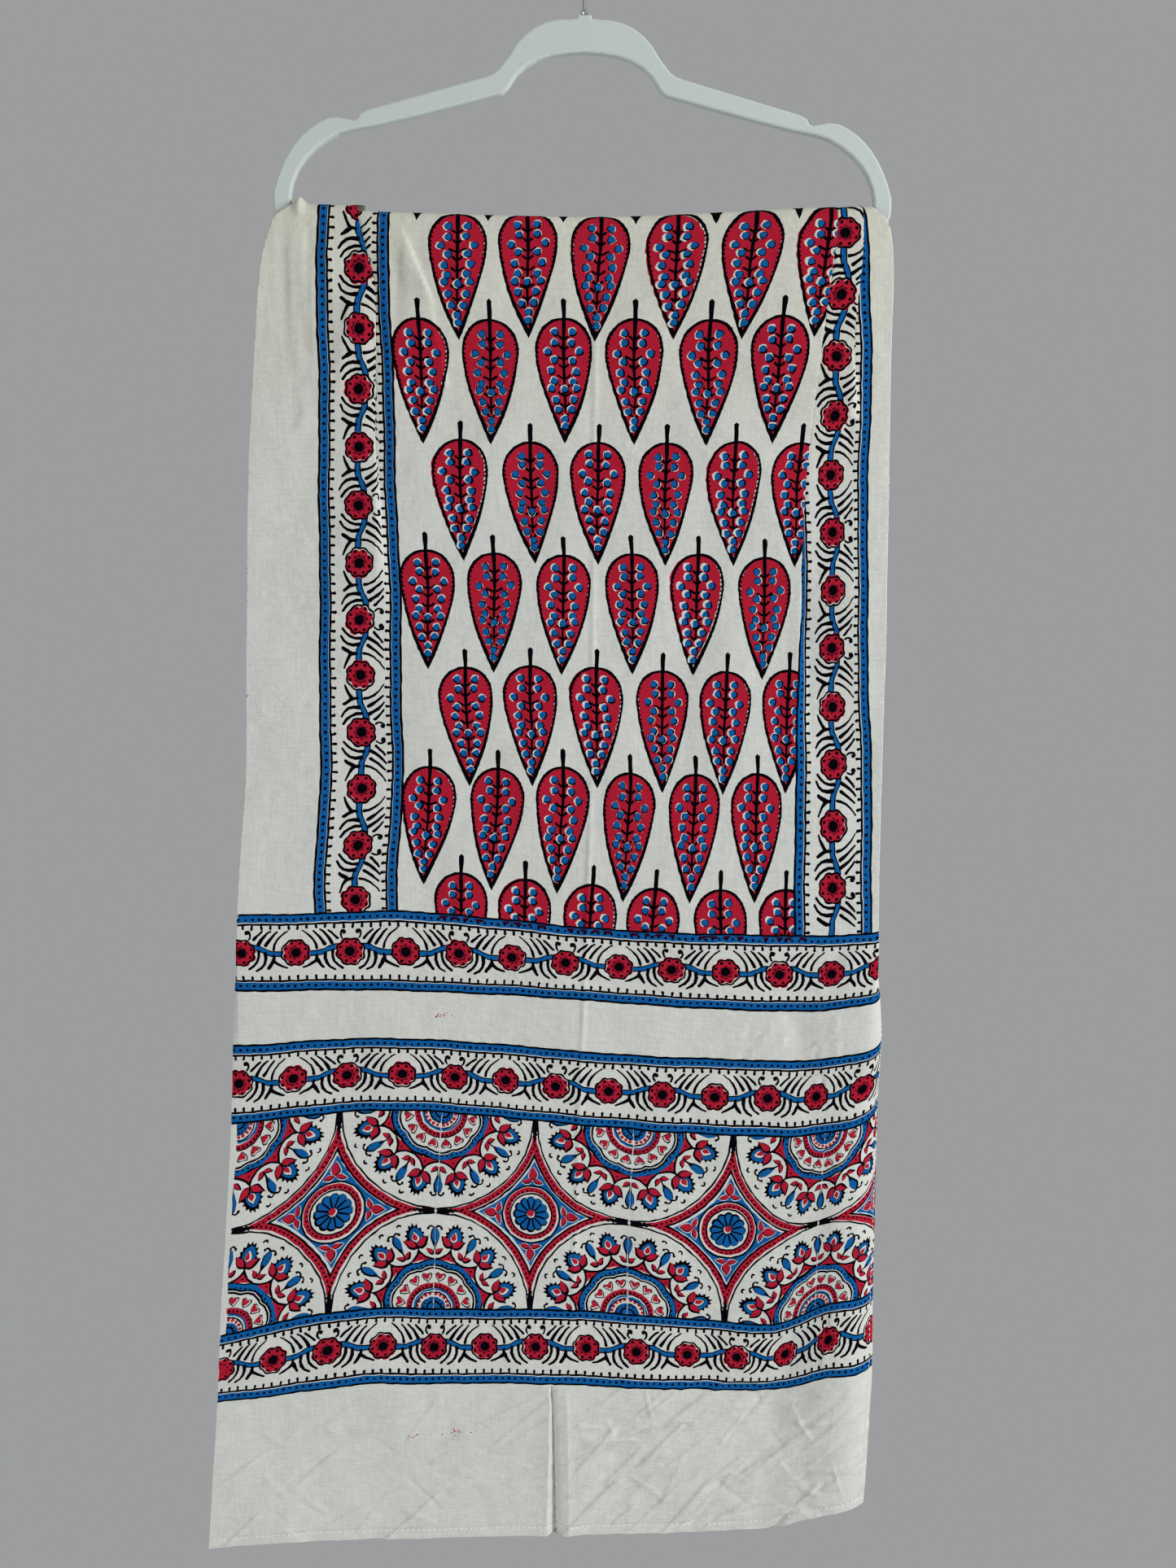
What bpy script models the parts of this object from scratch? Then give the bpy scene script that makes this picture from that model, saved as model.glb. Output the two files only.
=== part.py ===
"""A block-printed cotton stole draped over the bar of a slim flocked clothes hanger.

The origin is the hang point, inside the top of the hook's crook. +X is to the viewer's right,
the printed front faces -Y and +Z is up. All sizes below are millimetres.
"""

from collections import namedtuple
from math import cos, pi, radians, sin

import bmesh
import bpy
import numpy as np
from mathutils import Matrix, Vector

MM = 0.001

# The hanger: a flat plastic frame with a round-edged section, seen square on
HANG_TILT = radians(0.65)
FRAME_THICK = 6.0
EDGE_ROUND = 1.6
HALF_SPAN = 224.0
NECK_TOP = -79.0
NECK_HALF = 5.0
HUMP_TOP = -81.5
HUMP_INNER_TOP = -104.6
BAR_TOP_END = -215.5
BAR_TOP_MIDDLE = -218.3
BAR_DEEP = 12.0
CORNER_STEPS = 5

# The hook: round wire, its stem set in a blind bore in the neck
WIRE = 2.8
CROOK_INNER = 16.0
STEM_BOTTOM = -89.0
STEM_STRAIGHT_TOP = -56.0
TIP_ANGLE = radians(-38)
CROOK_STEPS = 26
SWAN_STEPS = 8
BORE = 3.4
BORE_BOTTOM = -90.0
BEAD = 5.6
BEAD_BORE = 3.4
BEAD_TALL = 3.4
CLEAR = 0.3

# The cloth, laid flat: distances across it from its left edge, and along it from the bar
CLOTH_WIDE = 532.0
CLOTH_THICK = 1.0
FRONT_LONG = 1024.0
BACK_LONG = 985.0
BORDER_OUT, BORDER_IN, CREASE, FIELD_END, BORDER2_OUT = 65.0, 126.5, 272.0, 432.0, 496.5
ANCHORS = (BORDER_OUT, BORDER_IN, CREASE, FIELD_END, BORDER2_OUT)

# How it goes over the bar, and how far each layer stands from the frame's middle plane
BEND = 6.5
HANG_OUT = 5.0
TURN = 3.2
TUCK_START, OVERLAP_START = 96.0, 433.0

# Each row is one line across the cloth: its flat distance from the bar, where the five printed
# lines above lie in x, and how far each stands out from the hanging plane
Line = namedtuple("Line", "along x1 x2 x3 x4 x5 out1 out2 out3 out4 out5")
FRONT_LINES = (
    Line(0, -193, -142, 7.5, 182, 199, 2.3, 1.5, 0.3, 6.4, 2.3),
    Line(14, -193, -142, 7.5, 183, 202, 2.3, 1.5, 0.6, 6.4, 2.3),
    Line(40, -194, -142, 7.3, 182, 204.5, 2.3, 1.5, 1.2, 6.4, 2.3),
    Line(110, -195, -141, 5, 173, 208, 2.5, 1.8, 2, 6.4, 2.3),
    Line(200, -196, -139.5, 5, 164, 207.5, 3.2, 2.2, 3, 6.4, 2.3),
    Line(290, -197.5, -137.5, 5.1, 160, 209, 3.8, 3.4, 3.2, 5.4, 3.2),
    Line(400, -199.6, -137.8, 5.1, 157, 214, 4, 2.6, 4.2, 6, 4),
    Line(512, -206, -143.7, -0.7, 158, 217, 5.2, 2.6, 4.8, 6.6, 5.4),
    Line(573.5, -206.5, -144, -3.3, 157, 213, 4.6, 3.4, 5.2, 5.6, 8),
    Line(614, -207, -144, -4.6, 154, 210, 4.2, 4.6, 5.4, 5.8, 9),
    Line(675.5, -208, -145, -7.2, 152, 210, 5, 3.8, 6.2, 7.6, 7.6),
    Line(832.5, -220, -152, -11.5, 150, 211, 6.4, 5, 6.6, 5, 9.6),
    Line(894, -224, -155, -12.8, 147, 210, 6.8, 6.2, 6, 3.6, 10.4),
    Line(1024, -232, -163, -22.4, 139, 200, 9.6, 6.6, 7, 5.6, 11),
)
BACK_LINES = (
    Line(0, -193, -142, 7.5, 182, 199, 2.3, 1.5, 0.3, 6.4, 2.3),
    Line(14, -193, -142, 7.5, 183, 199, 2.3, 1.5, 0.6, 6.4, 2.3),
    Line(60, -195, -141, 6.5, 178, 201, 2.3, 1.5, 1.4, 6.4, 2.3),
    Line(200, -199, -140, 5, 166, 204, 2.6, 3, 2, 6, 2.6),
    Line(500, -200, -141, 2, 155, 204, 3, 5, 2.4, 5, 3),
    Line(985, -202, -143, -1, 150, 202, 3.4, 7, 3, 7, 3.4),
)

# The height of the same lines at the cloth's left edge, the five printed lines and its right edge
Height = namedtuple("Height", "along z0 z1 z2 z3 z4 z5 z6")
FRONT_HEIGHTS = (
    Height(0, -210, -211, -215.4, -217.5, -217.2, -213, -212),
    Height(14, -220, -221, -225.5, -227.7, -227, -223, -222),
    Height(40, -250, -250, -251, -253.6, -252, -250, -250),
    Height(110, -322, -322, -323, -325, -324, -322, -321),
    Height(200, -413, -413, -413, -415, -416, -413, -412),
    Height(290, -503, -503, -503, -506, -508, -505, -504),
    Height(400, -615, -615, -614, -618, -622, -618, -615),
    Height(512, -729.5, -729.5, -727.6, -740, -746, -744, -733),
    Height(573.5, -789, -788.7, -789, -796, -805, -799, -788),
    Height(614, -832.3, -828.5, -826.5, -836.5, -844, -837, -827),
    Height(675.5, -894, -887, -883.3, -894, -903.5, -896, -884),
    Height(832.5, -1065, -1051, -1043.6, -1045, -1057, -1036, -1034),
    Height(894, -1120, -1112.7, -1105, -1106.5, -1113, -1097, -1095),
    Height(1024, -1243, -1237.5, -1236.5, -1233, -1229, -1214, -1209),
)
BACK_HEIGHTS = (
    Height(0, -210, -211, -215.4, -217.5, -217.2, -213, -212),
    Height(14, -220, -221, -225.5, -227.7, -227, -223, -222),
    Height(60, -270, -270, -271, -273.6, -272, -270, -270),
    Height(200, -411, -411, -412, -414, -413, -411, -411),
    Height(500, -711, -711, -712, -714, -713, -711, -711),
    Height(985, -1193, -1196, -1199, -1197, -1199, -1195, -1192),
)

# Each row gives the folds at a flat distance from the bar: how much of the left and right margins
# is folded back behind the cloth, over what length each bends and by what angle, and how much
# cloth is hidden by the tuck in the left border and by the field lapping over the right border
Folds = namedtuple("Folds", "along left left_bend left_angle tuck lap right right_bend right_angle")
FRONT_FOLDS = (
    Folds(0, 50, TURN, 180, 10.5, 44, 28, TURN, 180),
    Folds(6, 49.5, TURN, 180, 10.5, 44, 27.5, TURN, 180),
    Folds(14, 38, TURN, 180, 10.2, 43, 21, TURN, 180),
    Folds(24, 31, TURN, 180, 10.0, 42, 19, TURN, 180),
    Folds(40, 25, TURN, 180, 9.5, 41, 18, TURN, 180),
    Folds(110, 18, TURN, 180, 6.5, 29, 21, TURN, 180),
    Folds(200, 13, TURN, 180, 2.5, 20, 20, TURN, 180),
    Folds(290, 11, TURN, 180, 0, 7, 21, TURN, 180),
    Folds(400, 9.5, TURN, 180, 0, 0, 27, TURN, 180),
    Folds(500, 7, TURN, 180, 0, 0, 30, TURN, 180),
    Folds(545, 6, 3.6, 120, 0, 0, 30, 9, 150),
    Folds(575, 6, 4, 60, 0, 0, 30, 18, 108),
    Folds(614, 6, 5, 20, 0, 0, 30, 22, 78),
    Folds(700, 6, 5, 0, 0, 0, 30, 24, 64),
    Folds(832, 6, 5, 0, 0, 0, 30, 24, 50),
    Folds(894, 6, 5, 0, 0, 0, 30, 24, 42),
    Folds(1024, 6, 5, 0, 0, 0, 30, 24, 30),
)
BACK_FOLDS = (
    FRONT_FOLDS[0],
    FRONT_FOLDS[1],
    Folds(40, 30, TURN, 180, 9.5, 41, 22, TURN, 180),
    Folds(200, 26, TURN, 180, 2.5, 20, 20, TURN, 180),
    Folds(330, 25, TURN, 180, 0, 0, 20, TURN, 180),
    Folds(985, 24, TURN, 180, 0, 0, 20, TURN, 180),
)

# The middle crease opens into a pleat between two ridges in the plain end
PLEAT_TOP, PLEAT_HALF, PLEAT_DEEP, PLEAT_RIDGE = 880.0, 12.0, 7.0, 1.6
SAMPLE_STEP = 0.25


def start_clean():
    for thing in list(bpy.data.objects):
        bpy.data.objects.remove(thing, do_unlink=True)


def collection(name):
    group = bpy.data.collections.new(name)
    bpy.context.scene.collection.children.link(group)
    return group


def material(name, colour, roughness, metallic=0.0):
    made = bpy.data.materials.new(name)
    made.use_nodes = True
    shader = made.node_tree.nodes["Principled BSDF"]
    shader.inputs["Base Color"].default_value = (*colour, 1.0)
    shader.inputs["Roughness"].default_value = roughness
    shader.inputs["Metallic"].default_value = metallic
    return made


def monotone(xs, ys, x):
    """A smooth curve through (xs, ys) that never overshoots between two of its points."""
    xs, ys = np.asarray(xs, float), np.asarray(ys, float)
    step = np.diff(xs)
    slope = np.diff(ys) / step
    tangent = np.zeros_like(ys)
    same_sign = slope[:-1] * slope[1:] > 0
    total = slope[:-1] + slope[1:]
    total[~same_sign] = 1.0
    tangent[1:-1] = np.where(same_sign, 2 * slope[:-1] * slope[1:] / total, 0.0)
    tangent[0], tangent[-1] = slope[0], slope[-1]
    x = np.clip(x, xs[0], xs[-1])
    k = np.clip(np.searchsorted(xs, x, side="right") - 1, 0, len(step) - 1)
    t = (x - xs[k]) / step[k]
    start = (1 + 2 * t) * (1 - t) ** 2 * ys[k] + t * (1 - t) ** 2 * step[k] * tangent[k]
    end = t * t * (3 - 2 * t) * ys[k + 1] + t * t * (t - 1) * step[k] * tangent[k + 1]
    return start + end


def column(rows, name, along):
    """The value of a named column of a table at a distance along the cloth."""
    return float(monotone([row.along for row in rows], [getattr(row, name) for row in rows], along))


def over_bar(along):
    """How much higher the cloth lies than a straight drop from the crest, once round the bar."""
    round_angle = min(along / BEND, pi / 2)
    return min(along, BEND * pi / 2) - BEND * (1 - cos(round_angle))


def height(rows, name, along):
    """The height at a distance along the cloth, following the bend over the bar."""
    drops = [getattr(row, name) - over_bar(row.along) for row in rows]
    return float(monotone([row.along for row in rows], drops, along)) + over_bar(along)


def ramp(value):
    return np.clip(value, 0.0, 1.0)


def fold_plan(hidden):
    """(length of each bend, length between the bends, angle) of a fold that hides this much cloth."""
    if hidden <= 0.2:
        return 10.0, 0.0, 0.0
    full = 2 * TURN
    if hidden >= full:
        return TURN, (hidden - full) / 2, pi
    bend = TURN + 6.0 * (1 - hidden / full)
    return bend, 0.0, pi * min(1.0, (hidden / (2 * bend)) ** 0.5)


def fold_angle(across, start, plan):
    """The direction of the cloth through a fold: it turns back behind itself and returns."""
    bend, flat, angle = plan
    rise = ramp((across - start) / bend)
    fall = ramp((across - start - bend - flat) / bend)
    return -angle * (rise - fall)


def pleat(across, along):
    """How far the open middle pleat moves the plain end's lower part in or out."""
    open_here = ramp((along - PLEAT_TOP) / (FRONT_LONG - PLEAT_TOP))
    place = (across - CREASE) / PLEAT_HALF
    trough = -PLEAT_DEEP * np.exp(-(1.5 * place) ** 2)
    ridges = PLEAT_RIDGE * (np.exp(-((2.2 * (place - 1)) ** 2)) + np.exp(-((2.2 * (place + 1)) ** 2)))
    return open_here * (trough + ridges)


class Section:
    """One line across the hung cloth, at a flat distance from the bar, on its front or back."""

    def __init__(self, along, front):
        lines = FRONT_LINES if front else BACK_LINES
        heights = FRONT_HEIGHTS if front else BACK_HEIGHTS
        folds = FRONT_FOLDS if front else BACK_FOLDS
        self.along, self.front = along, front
        self.x = [column(lines, f"x{i + 1}", along) for i in range(len(ANCHORS))]
        self.out = [column(lines, f"out{i + 1}", along) for i in range(len(ANCHORS))]
        self.z = [height(heights, f"z{i}", along) for i in range(len(ANCHORS) + 2)]
        self.left = [column(folds, name, along) for name in ("left", "left_bend", "left_angle")]
        self.right = [column(folds, name, along) for name in ("right", "right_bend", "right_angle")]
        self.tuck = fold_plan(column(folds, "tuck", along))
        self.overlap = fold_plan(column(folds, "lap", along))

    def breaks(self):
        """Where the columns of faces gather across the cloth, and how many go before each."""
        tuck_bend, tuck_flat, _ = self.tuck
        lap_bend, lap_flat, _ = self.overlap
        left, left_bend, _ = self.left
        right, right_bend, _ = self.right
        tuck_end = TUCK_START + 2 * tuck_bend + tuck_flat
        lap_end = OVERLAP_START + 2 * lap_bend + lap_flat
        return (
            (0.0, 0),
            (left - left_bend, 1),
            (left, 3),
            (max(left + 4, BORDER_OUT), 1),
            (TUCK_START, 2),
            (TUCK_START + tuck_bend, 3),
            (TUCK_START + tuck_bend + tuck_flat, 1),
            (tuck_end, 3),
            (BORDER_IN + 12, 1),
            (CREASE - PLEAT_HALF, 4),
            (CREASE + PLEAT_HALF, 6),
            (OVERLAP_START, 5),
            (OVERLAP_START + lap_bend, 3),
            (OVERLAP_START + lap_bend + lap_flat, 1),
            (lap_end, 3),
            (max(CLOTH_WIDE - right, lap_end + 6), 2),
            (CLOTH_WIDE - right + right_bend, 3),
            (CLOTH_WIDE, 2),
        )

    def columns(self):
        places = [0.0]
        for (here, _), (there, count) in zip(self.breaks(), self.breaks()[1:]):
            places += [here + (there - here) * (i + 1) / count for i in range(count)]
        return np.array(places)

    def points(self, across):
        """(x, y, z) of the cloth's middle surface at these flat distances across it."""
        fine = np.arange(0.0, CLOTH_WIDE + SAMPLE_STEP, SAMPLE_STEP)
        left, left_bend, left_angle = self.left
        right, right_bend, right_angle = self.right
        angle = radians(left_angle) * ramp((left - fine) / left_bend)
        angle -= radians(right_angle) * ramp((fine - CLOTH_WIDE + right) / right_bend)
        angle += fold_angle(fine, TUCK_START, self.tuck)
        angle += fold_angle(fine, OVERLAP_START, self.overlap)
        path_x = np.cumsum(np.cos(angle)) * SAMPLE_STEP
        path_out = np.cumsum(np.sin(angle)) * SAMPLE_STEP
        at = np.array(ANCHORS)
        miss_x = np.array(self.x) - np.interp(at, fine, path_x)
        miss_out = np.array(self.out) - np.interp(at, fine, path_out)
        x = np.interp(across, fine, path_x) + monotone(at, miss_x, across)
        out = np.interp(across, fine, path_out) + monotone(at, miss_out, across)
        z = monotone((0.0, *ANCHORS, CLOTH_WIDE), self.z, across)
        if self.front:
            out = out + pleat(across, self.along)
        round_angle = min(self.along / BEND, pi / 2)
        settle = ramp((self.along - 40.0) / 80.0)
        plane = BEND * sin(round_angle) + (HANG_OUT - BEND) * settle * settle * (3 - 2 * settle)
        side = -1.0 if self.front else 1.0
        y = side * (plane + out * sin(round_angle))
        return np.stack([x, y, z + out * cos(round_angle)], axis=1)


def stations():
    """The flat distances of the cloth's rows, front hem to back hem; the back's are negative."""
    front_gaps = ((1024, 894, 4), (894, 832.5, 2), (832.5, 675.5, 3), (675.5, 614, 1), (614, 500, 4),
                  (500, 200, 4), (200, 40, 3), (40, 14, 2), (14, 0, 4))
    back_gaps = ((0, 14, 4), (14, 40, 1), (40, 200, 2), (200, 985, 5))
    rows = [front_gaps[0][0]]
    for top, bottom, count in front_gaps:
        rows += [top + (bottom - top) * (i + 1) / count for i in range(count)]
    for top, bottom, count in back_gaps:
        rows += [-(top + (bottom - top) * (i + 1) / count) for i in range(count)]
    return rows


def build_cloth(group):
    """The stole as one solid sheet, from a grid bent to its hung shape."""
    sections = [Section(abs(along), along >= 0) for along in stations()]
    grid = [section.points(section.columns()) for section in sections]
    across, rows = len(grid[0]), len(grid)
    bpy.ops.mesh.primitive_grid_add(x_subdivisions=across - 1, y_subdivisions=rows - 1, size=2.0)
    cloth = bpy.context.object
    cloth.name = cloth.data.name = "cloth"
    order = sorted(cloth.data.vertices, key=lambda v: (round(v.co.y, 5), round(v.co.x, 5)))
    for place, vertex in enumerate(order):
        row, col = divmod(place, across)
        vertex.co = Vector(grid[row][col]) * MM
    thick = cloth.modifiers.new("thickness", "SOLIDIFY")
    thick.thickness = CLOTH_THICK * MM
    thick.offset = 0.0
    move_to(cloth, group)
    cloth.data.materials.append(material("printed_cotton", (0.72, 0.70, 0.63), 0.85))
    return cloth


def move_to(thing, group):
    for old in list(thing.users_collection):
        old.objects.unlink(thing)
    group.objects.link(thing)


def arc(centre, radius, start, end, steps):
    """Points on an arc, with angles from +X in radians."""
    turns = [start + (end - start) * i / steps for i in range(steps + 1)]
    return [(centre[0] + radius * cos(a), centre[1] + radius * sin(a)) for a in turns]


def bow(start, middle, end, steps):
    """Points on the shallow curve from start to end whose half-way point is middle."""
    points = []
    for i in range(steps + 1):
        t = i / steps
        handle = [2 * m - (s + e) / 2 for s, m, e in zip(start, middle, end)]
        points.append(tuple((1 - t) ** 2 * s + 2 * t * (1 - t) * h + t * t * e
                            for s, h, e in zip(start, handle, end)))
    return points


def mirrored(half):
    """A whole outline from its right half, which runs from the top middle to the bottom middle."""
    return half + [(-x, z) for x, z in reversed(half) if x > 0.01]


def outer_outline():
    """The frame's outer edge: neck, hump, sloping arm with its strap notch, round end and bar."""
    half = [(0.0, NECK_TOP), (NECK_HALF, NECK_TOP), (NECK_HALF + 0.6, HUMP_TOP)]
    half += bow((10.0, HUMP_TOP - 0.6), (36.0, -88.0), (54.6, -108.2), 6)
    half += bow((59.5, -114.2), (64.0, -118.8), (71.0, -121.9), 3)
    half += bow((156.0, -145.4), (161.0, -148.0), (163.0, -151.6), 2)
    half += bow((165.5, -152.6), (171.0, -151.6), (176.5, -150.5), 2)
    half += bow((184.0, -151.2), (208.5, -169.5), (HALF_SPAN, -202.3), 8)
    half += bow((HALF_SPAN, -209.0), (220.6, -220.6), (208.0, BAR_TOP_END - BAR_DEEP), 5)
    half += bow((140.0, -228.9), (80.0, -229.9), (0.0, BAR_TOP_MIDDLE - BAR_DEEP), 3)[:-1]
    return mirrored(half) + [(0.0, BAR_TOP_MIDDLE - BAR_DEEP)]


def window_outline():
    """The frame's opening, from the hump's inside to the top of the bar."""
    half = [(0.0, HUMP_INNER_TOP)] + bow((12.0, HUMP_INNER_TOP - 0.8), (38.0, -112.5), (53.5, -128.6), 5)
    half += bow((56.0, -131.4), (59.0, -133.6), (64.0, -134.9), 2)
    half += bow((120.0, -149.2), (150.0, -156.2), (166.0, -159.1), 2)
    half += bow((176.0, -161.8), (200.5, -180.0), (211.0, -204.0), 6)
    half += arc((206.0, BAR_TOP_END + 5.0), 5.0, 0.0, -pi / 2, CORNER_STEPS)
    half += bow((140.0, -216.9), (80.0, -217.9), (0.0, BAR_TOP_MIDDLE), 3)[:-1]
    return mirrored(half) + [(0.0, BAR_TOP_MIDDLE)]


def in_order(points):
    """The outline with its halves joined: right half down, then left half back up."""
    right = [p for p in points if p[0] >= -0.01][:-1]
    bottom = points[-1]
    left = [p for p in points if p[0] < -0.01]
    return right + [bottom] + left


def add_loop(curve, points):
    spline = curve.splines.new("POLY")
    spline.points.add(len(points) - 1)
    for point, (x, z) in zip(spline.points, points):
        point.co = (x * MM, z * MM, 0.0, 1.0)
    spline.use_cyclic_u = True


def mesh_from(curve_object, name, group):
    """A mesh object of the same shape as the curve object, with its caps welded on."""
    bpy.context.view_layer.update()
    graph = bpy.context.evaluated_depsgraph_get()
    mesh = bpy.data.meshes.new_from_object(curve_object.evaluated_get(graph))
    weld(mesh)
    made = bpy.data.objects.new(name, mesh)
    made.matrix_world = curve_object.matrix_world
    group.objects.link(made)
    bpy.data.objects.remove(curve_object, do_unlink=True)
    return made


def weld(mesh):
    shape = bmesh.new()
    shape.from_mesh(mesh)
    bmesh.ops.remove_doubles(shape, verts=shape.verts, dist=1e-5)
    bmesh.ops.recalc_face_normals(shape, faces=shape.faces)
    shape.to_mesh(mesh)
    shape.free()


def build_hanger(group, cutters):
    curve = bpy.data.curves.new("hanger_outline", "CURVE")
    curve.dimensions = "2D"
    curve.fill_mode = "BOTH"
    curve.extrude = (FRAME_THICK / 2 - EDGE_ROUND) * MM
    curve.bevel_depth = EDGE_ROUND * MM
    curve.offset = -EDGE_ROUND * MM
    curve.bevel_resolution = 1
    add_loop(curve, in_order(outer_outline()))
    add_loop(curve, in_order(window_outline()))
    flat = bpy.data.objects.new("hanger_flat", curve)
    flat.matrix_world = Matrix.Rotation(HANG_TILT, 4, "Y") @ Matrix.Rotation(pi / 2, 4, "X")
    group.objects.link(flat)
    hanger = mesh_from(flat, "hanger", group)
    hanger.data.materials.append(material("flocked_plastic", (0.50, 0.54, 0.51), 0.6))
    cutter = build_bore(cutters)
    cut = hanger.modifiers.new("stem_bore", "BOOLEAN")
    cut.operation = "DIFFERENCE"
    cut.object = cutter
    return hanger


def build_bore(cutters):
    tall = NECK_TOP - BORE_BOTTOM + 4.0
    bpy.ops.mesh.primitive_cylinder_add(vertices=16, radius=BORE / 2 * MM, depth=tall * MM)
    cutter = bpy.context.object
    cutter.name = "stem_bore_cutter"
    cutter.location = tilted(0.0, BORE_BOTTOM + tall / 2)
    cutter.rotation_euler = (0.0, HANG_TILT, 0.0)
    cutter.hide_render = True
    cutter.display_type = "WIRE"
    move_to(cutter, cutters)
    return cutter


def tilted(x, z):
    """A point of the hanger's own plane, turned with it about the hang point."""
    return Matrix.Rotation(HANG_TILT, 3, "Y") @ Vector((x, 0.0, z)) * MM


def hook_path():
    """The wire's middle line: stem, swan neck out to the left, and the crook over the top."""
    radius = CROOK_INNER + WIRE / 2
    centre_z = -CROOK_INNER
    stem = [(0.0, STEM_BOTTOM), (0.0, (STEM_BOTTOM + STEM_STRAIGHT_TOP) / 2), (0.0, STEM_STRAIGHT_TOP)]
    start_angle = radians(215)
    crook = arc((0.0, centre_z), radius, start_angle, TIP_ANGLE, CROOK_STEPS)
    start, end = Vector(stem[-1]), Vector(crook[0])
    leave = Vector((0.0, 12.0))
    arrive = Vector((sin(start_angle), -cos(start_angle))) * 12.0
    swan = []
    for i in range(1, SWAN_STEPS):
        t = i / SWAN_STEPS
        swan.append(tuple((1 - t) ** 3 * start + 3 * t * (1 - t) ** 2 * (start + leave)
                          + 3 * t * t * (1 - t) * (end - arrive) + t ** 3 * end))
    return stem + swan + crook


def build_hook(group):
    curve = bpy.data.curves.new("hook", "CURVE")
    curve.dimensions = "3D"
    curve.bevel_depth = WIRE / 2 * MM
    curve.bevel_resolution = 2
    curve.use_fill_caps = True
    path = hook_path()
    spline = curve.splines.new("POLY")
    spline.points.add(len(path) - 1)
    for point, (x, z) in zip(spline.points, path):
        point.co = (x * MM, 0.0, z * MM, 1.0)
    hook = bpy.data.objects.new("hook", curve)
    hook.rotation_euler = (0.0, HANG_TILT, 0.0)
    hook.data.materials.append(material("plated_wire", (0.62, 0.63, 0.64), 0.28, 1.0))
    group.objects.link(hook)
    return hook


def build_bead(group):
    """The collar on the stem, a turned bead resting on the neck."""
    bottom = NECK_TOP + CLEAR
    outer, inner, tall = BEAD / 2, BEAD_BORE / 2, BEAD_TALL
    profile = [(inner, tall), (outer - 0.9, tall), (outer, tall * 0.62), (outer, tall * 0.38),
               (outer - 0.9, 0.0), (inner, 0.0), (inner, tall)]
    mesh = bpy.data.meshes.new("collar")
    points = [(r * MM, 0.0, z * MM) for r, z in profile[:-1]]
    edges = [(i, (i + 1) % len(points)) for i in range(len(points))]
    mesh.from_pydata(points, edges, [])
    bead = bpy.data.objects.new("collar", mesh)
    turn = bead.modifiers.new("turned", "SCREW")
    turn.steps = turn.render_steps = 20
    turn.use_merge_vertices = True
    turn.merge_threshold = 1e-5
    bead.location = tilted(0.0, bottom)
    bead.rotation_euler = (0.0, HANG_TILT, 0.0)
    mesh.materials.append(material("collar_metal", (0.62, 0.63, 0.64), 0.3, 1.0))
    group.objects.link(bead)
    return bead


def main():
    start_clean()
    parts = collection("printed_stole_on_hanger")
    cutters = collection("cutters")
    build_hanger(parts, cutters)
    build_hook(parts)
    build_bead(parts)
    build_cloth(parts)


main()
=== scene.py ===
"""The looks of a block-printed cotton stole draped over a slim clothes hanger.

The cloth is one sheet whose faces follow the print: each motif is drawn flat as outlines, the flat
sheet is cut into triangles along them, and the triangles are then hung in the shape of the folds.
Flat places are (u, s) in millimetres: u across the cloth from its left edge, and s along it from
the bar, positive down the front and negative down the back.
"""

from collections import namedtuple
from math import atan, cos, hypot, pi, radians, sin

import bpy
import numpy as np
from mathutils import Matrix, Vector
from mathutils.geometry import delaunay_2d_cdt


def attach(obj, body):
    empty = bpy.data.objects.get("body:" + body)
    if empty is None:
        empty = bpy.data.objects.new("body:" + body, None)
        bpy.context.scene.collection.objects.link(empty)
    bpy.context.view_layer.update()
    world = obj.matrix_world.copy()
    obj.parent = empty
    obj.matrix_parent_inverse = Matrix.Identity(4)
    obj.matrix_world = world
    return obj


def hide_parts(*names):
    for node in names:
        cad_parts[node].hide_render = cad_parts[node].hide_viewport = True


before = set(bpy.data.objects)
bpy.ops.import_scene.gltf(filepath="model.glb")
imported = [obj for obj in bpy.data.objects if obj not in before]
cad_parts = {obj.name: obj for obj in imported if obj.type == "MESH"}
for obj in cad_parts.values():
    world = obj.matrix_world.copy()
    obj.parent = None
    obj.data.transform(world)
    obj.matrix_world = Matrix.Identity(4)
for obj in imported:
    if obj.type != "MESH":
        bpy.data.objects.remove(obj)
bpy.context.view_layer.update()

MM = 0.001
PICTURE_WIDE, PICTURE_TALL = 1445, 1927

# The camera: a phone's main lens, a little above the middle of the cloth and looking slightly down
FOCAL_PX = 1447.0
CAMERA_PITCH = radians(5.5)
CAMERA_PLACE = Vector((1.75, -891.4, -545.1)) * MM

# The cloth laid flat
CLOTH_WIDE = 532.0
FRONT_LONG, BACK_LONG = 1024.0, 985.0
BORDER_OUT, BORDER_IN, CREASE, FIELD_END, BORDER2_OUT = 65.0, 126.5, 272.0, 432.0, 496.5
ANCHORS = (BORDER_OUT, BORDER_IN, CREASE, FIELD_END, BORDER2_OUT)

# How it goes over the bar, as in the solid, but with the tighter folds of real cloth
BEND = 6.5
HANG_OUT = 5.0
TURN = 1.9
OVERLAP_START, SIDE_START = 433.5, 478.5

# Where the tuck in the left border starts, and how much the fold beside the right stripe hides
TUCK_ALONG, TUCK_START = (0.0, 25.0, 60.0, 300.0), (91.0, 98.0, 107.0, 108.0)
SIDE_ALONG, SIDE_HIDDEN = (0.0, 40.0, 90.0, 150.0), (17.0, 13.0, 5.0, 0.0)

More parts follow.
